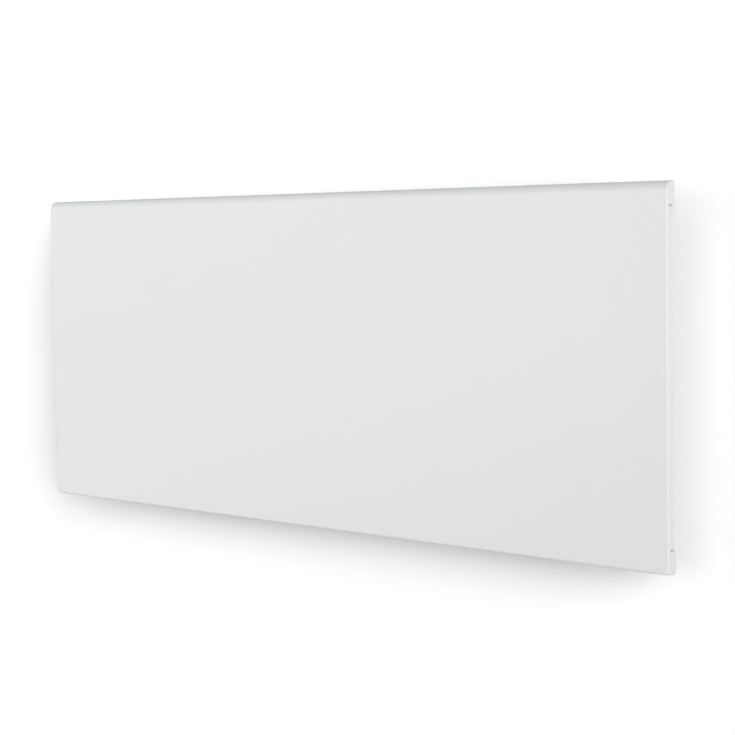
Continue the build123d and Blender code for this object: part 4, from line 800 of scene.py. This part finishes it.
def dial_scale():
    """Bars round the knob that grow with the setting, from straight ahead, clockwise seen from above."""
    mesh = bmesh.new()
    low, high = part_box("thermostat_knob")
    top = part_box("control_cover")[1].z
    for i in range(SCALE_BARS):
        turn = -math.pi / 2 - KNOB_TRAVEL * i / (SCALE_BARS - 1)
        length = SCALE_SHORTEST + (SCALE_LONGEST - SCALE_SHORTEST) * i / (SCALE_BARS - 1)
        outward = Vector((math.cos(turn), math.sin(turn), 0))
        sideways = Vector((-math.sin(turn), math.cos(turn), 0))
        centre = Vector(((low.x + high.x) / 2, (low.y + high.y) / 2, top))
        bar(
            mesh, centre + outward * (SCALE_RADIUS + length / 2), outward, sideways, Vector((0, 0, 1)),
            length, SCALE_BAR_WIDTH, INK_HEIGHT,
        )
    marking(mesh, "dial_scale", "heater", INK_DARK)


def rocker_marks():
    """A bar on the end that switches on and a ring on the end that switches off."""
    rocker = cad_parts["switch_rocker"]
    low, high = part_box("switch_rocker")
    middle_x = (low.x + high.x) / 2
    middle_y = (low.y + high.y) / 2
    mesh = bmesh.new()
    for side, shape in ((-1, ring), (1, bar)):
        above = Vector((middle_x, middle_y + side * MARK_FROM_MIDDLE, high.z + MARK_SIZE))
        hit, place, normal, _ = rocker.ray_cast(above, Vector((0, 0, -1)))
        assert hit, "The rocker isn't under its mark"
        across = Vector((1, 0, 0))
        along = normal.cross(across).normalized()
        if shape is bar:
            bar(mesh, place, along, across, normal, MARK_SIZE, MARK_LINE, INK_HEIGHT)
        else:
            ring(mesh, place, along, across, normal, MARK_SIZE / 2, MARK_LINE, INK_HEIGHT)
    marking(mesh, "rocker_marks", "power_rocker", INK_WHITE)


# Stage, light and camera

def plane(name, corners):
    """One flat face of the stage."""
    mesh = bmesh.new()
    mesh.faces.new([mesh.verts.new(corner) for corner in corners])
    made = as_object(mesh, name)
    return made


def seen_directly(tree):
    """1 for camera, glossy and transmission rays, 0 for light bouncing between surfaces."""
    path = tree.nodes.new("ShaderNodeLightPath")
    total = path.outputs["Is Camera Ray"]
    for name in ("Is Glossy Ray", "Is Transmission Ray"):
        larger = tree.nodes.new("ShaderNodeMath")
        larger.operation = "MAXIMUM"
        tree.links.new(total, larger.inputs[0])
        tree.links.new(path.outputs[name], larger.inputs[1])
        total = larger.outputs[0]
    return total


def wall_material():
    """Matt wall that takes the heater's shadow and can't be seen from behind."""
    material = bpy.data.materials.new("wall")
    material.use_nodes = True
    tree = material.node_tree
    tree.nodes.clear()
    matt = tree.nodes.new("ShaderNodeBsdfDiffuse")
    matt.inputs["Color"].default_value = (*WALL_COLOUR, 1)
    one_sided = tree.nodes.new("ShaderNodeMixShader")
    side = tree.nodes.new("ShaderNodeNewGeometry")
    clear = tree.nodes.new("ShaderNodeBsdfTransparent")
    tree.links.new(side.outputs["Backfacing"], one_sided.inputs[0])
    tree.links.new(matt.outputs[0], one_sided.inputs[1])
    tree.links.new(clear.outputs[0], one_sided.inputs[2])
    output = tree.nodes.new("ShaderNodeOutputMaterial")
    tree.links.new(one_sided.outputs[0], output.inputs["Surface"])
    return material


def floor_material():
    """Pale floor that glows a little where it is seen, and takes shadows."""
    f = Finish("floor")
    f.colour(f.tint(FLOOR_COLOUR, f.noise(0.5, 2.0), 0.01))
    f.roughness(f.noise(0.05), 0.60, 0.70)
    f.feed(f.span(seen_directly(f.tree), 0.0, FLOOR_GLOW), f.shader.inputs["Emission Strength"])
    f.shader.inputs["Emission Color"].default_value = (1, 1, 1, 1)
    return f.material


def make_stage():
    """A wall behind the heater, which only the camera sees, and a floor below."""
    reach = STAGE_REACH
    top = FLOOR_Z + 2 * reach
    wall = plane("stage_wall", [
        (-reach, WALL_BEHIND, FLOOR_Z), (reach, WALL_BEHIND, FLOOR_Z),
        (reach, WALL_BEHIND, top), (-reach, WALL_BEHIND, top),
    ])
    wall.data.materials.append(wall_material())
    wall.visible_diffuse = False
    wall.visible_glossy = False
    wall.visible_transmission = False
    wall.visible_shadow = False
    floor = plane("stage_floor", [
        (-reach, -reach, FLOOR_Z), (reach, -reach, FLOOR_Z),
        (reach, reach, FLOOR_Z), (-reach, reach, FLOOR_Z),
    ])
    floor.data.materials.append(floor_material())


def make_world():
    """White where it is seen, and a plain grey level where it lights the object."""
    world = bpy.data.worlds.new("studio")
    world.use_nodes = True
    bpy.context.scene.world = world
    tree = world.node_tree
    light = tree.nodes["Background"]
    light.inputs["Color"].default_value = (1, 1, 1, 1)
    light.inputs["Strength"].default_value = SKY_LEVEL
    seen = tree.nodes.new("ShaderNodeBackground")
    seen.inputs["Color"].default_value = (1, 1, 1, 1)
    choice = tree.nodes.new("ShaderNodeMixShader")
    tree.links.new(seen_directly(tree), choice.inputs[0])
    tree.links.new(light.outputs[0], choice.inputs[1])
    tree.links.new(seen.outputs[0], choice.inputs[2])
    tree.links.new(choice.outputs[0], tree.nodes["World Output"].inputs["Surface"])


def lamp(name, place, size, watts):
    """A round soft lamp that looks at the middle of the heater."""
    data = bpy.data.lights.new(name, "AREA")
    data.shape = "DISK"
    data.size = size
    data.energy = watts
    made = bpy.data.objects.new(name, data)
    made.location = place
    made.rotation_euler = (-Vector(place)).to_track_quat("-Z", "Y").to_euler()
    bpy.context.scene.collection.objects.link(made)


def far_light(name, azimuth, elevation, spread, strength):
    """Broad even light, azimuth degrees to the right of straight ahead, too far away to fall off."""
    data = bpy.data.lights.new(name, "SUN")
    data.energy = strength
    data.angle = math.radians(spread)
    turn = math.radians(azimuth)
    rise = math.radians(elevation)
    source = Vector((
        math.sin(turn) * math.cos(rise), -math.cos(turn) * math.cos(rise), math.sin(rise),
    ))
    made = bpy.data.objects.new(name, data)
    made.rotation_euler = (-source).to_track_quat("-Z", "Y").to_euler()
    bpy.context.scene.collection.objects.link(made)
    return made


def wall_lights():
    """Light the wall alone, and so draw the heater's soft shadow there without lighting the heater."""
    lit = bpy.data.collections.new("lit_by_wall_lights")
    lit.objects.link(bpy.data.objects["stage_wall"])
    for name, azimuth, spread, strength in (
        ("wall_light_right", WALL_RIGHT_AZIMUTH, WALL_RIGHT_SPREAD, WALL_RIGHT_STRENGTH),
        ("wall_light_front", WALL_FRONT_AZIMUTH, WALL_FRONT_SPREAD, WALL_FRONT_STRENGTH),
    ):
        made = far_light(name, azimuth, WALL_LIGHT_ELEVATION, spread, strength)
        made.light_linking.receiver_collection = lit


def make_camera():
    """The camera at the photo's place and angle; roll turns the picture about the line of sight."""
    yaw, pitch, roll = (math.radians(angle) for angle in (CAMERA_YAW, CAMERA_PITCH, CAMERA_ROLL))
    ahead = Vector((-math.sin(yaw), math.cos(yaw), 0))
    across = Vector((math.cos(yaw), math.sin(yaw), 0))
    up = Vector((0, 0, 1))
    forward = ahead * math.cos(pitch) - up * math.sin(pitch)
    upright = up * math.cos(pitch) + ahead * math.sin(pitch)
    right = across * math.cos(roll) + upright * math.sin(roll)
    top = upright * math.cos(roll) - across * math.sin(roll)
    data = bpy.data.cameras.new("camera")
    data.sensor_width = CAMERA_SENSOR
    data.lens = CAMERA_LENS
    camera = bpy.data.objects.new("camera", data)
    turn = Matrix((right, top, -forward)).transposed().to_4x4()
    camera.matrix_world = Matrix.Translation(CAMERA_PLACE) @ turn
    bpy.context.scene.collection.objects.link(camera)
    bpy.context.scene.camera = camera


make_camera()
make_stage()
make_world()
lamp("key_lamp", KEY_PLACE, KEY_SIZE, KEY_WATTS)
far_light("side_light", SIDE_AZIMUTH, SIDE_ELEVATION, SIDE_SPREAD, SIDE_STRENGTH)
wall_lights()
lamp("rear_lamp", REAR_PLACE, REAR_SIZE, REAR_WATTS)
bpy.context.scene.view_settings.view_transform = "Standard"
dress_sheet_metal()
dress_fasteners_and_metal()
dress_plastics()
dress_wires()
front_panel()
rolled_hems()
slit_plates()
supply_wires()
knob_pointer()
dial_scale()
rocker_marks()
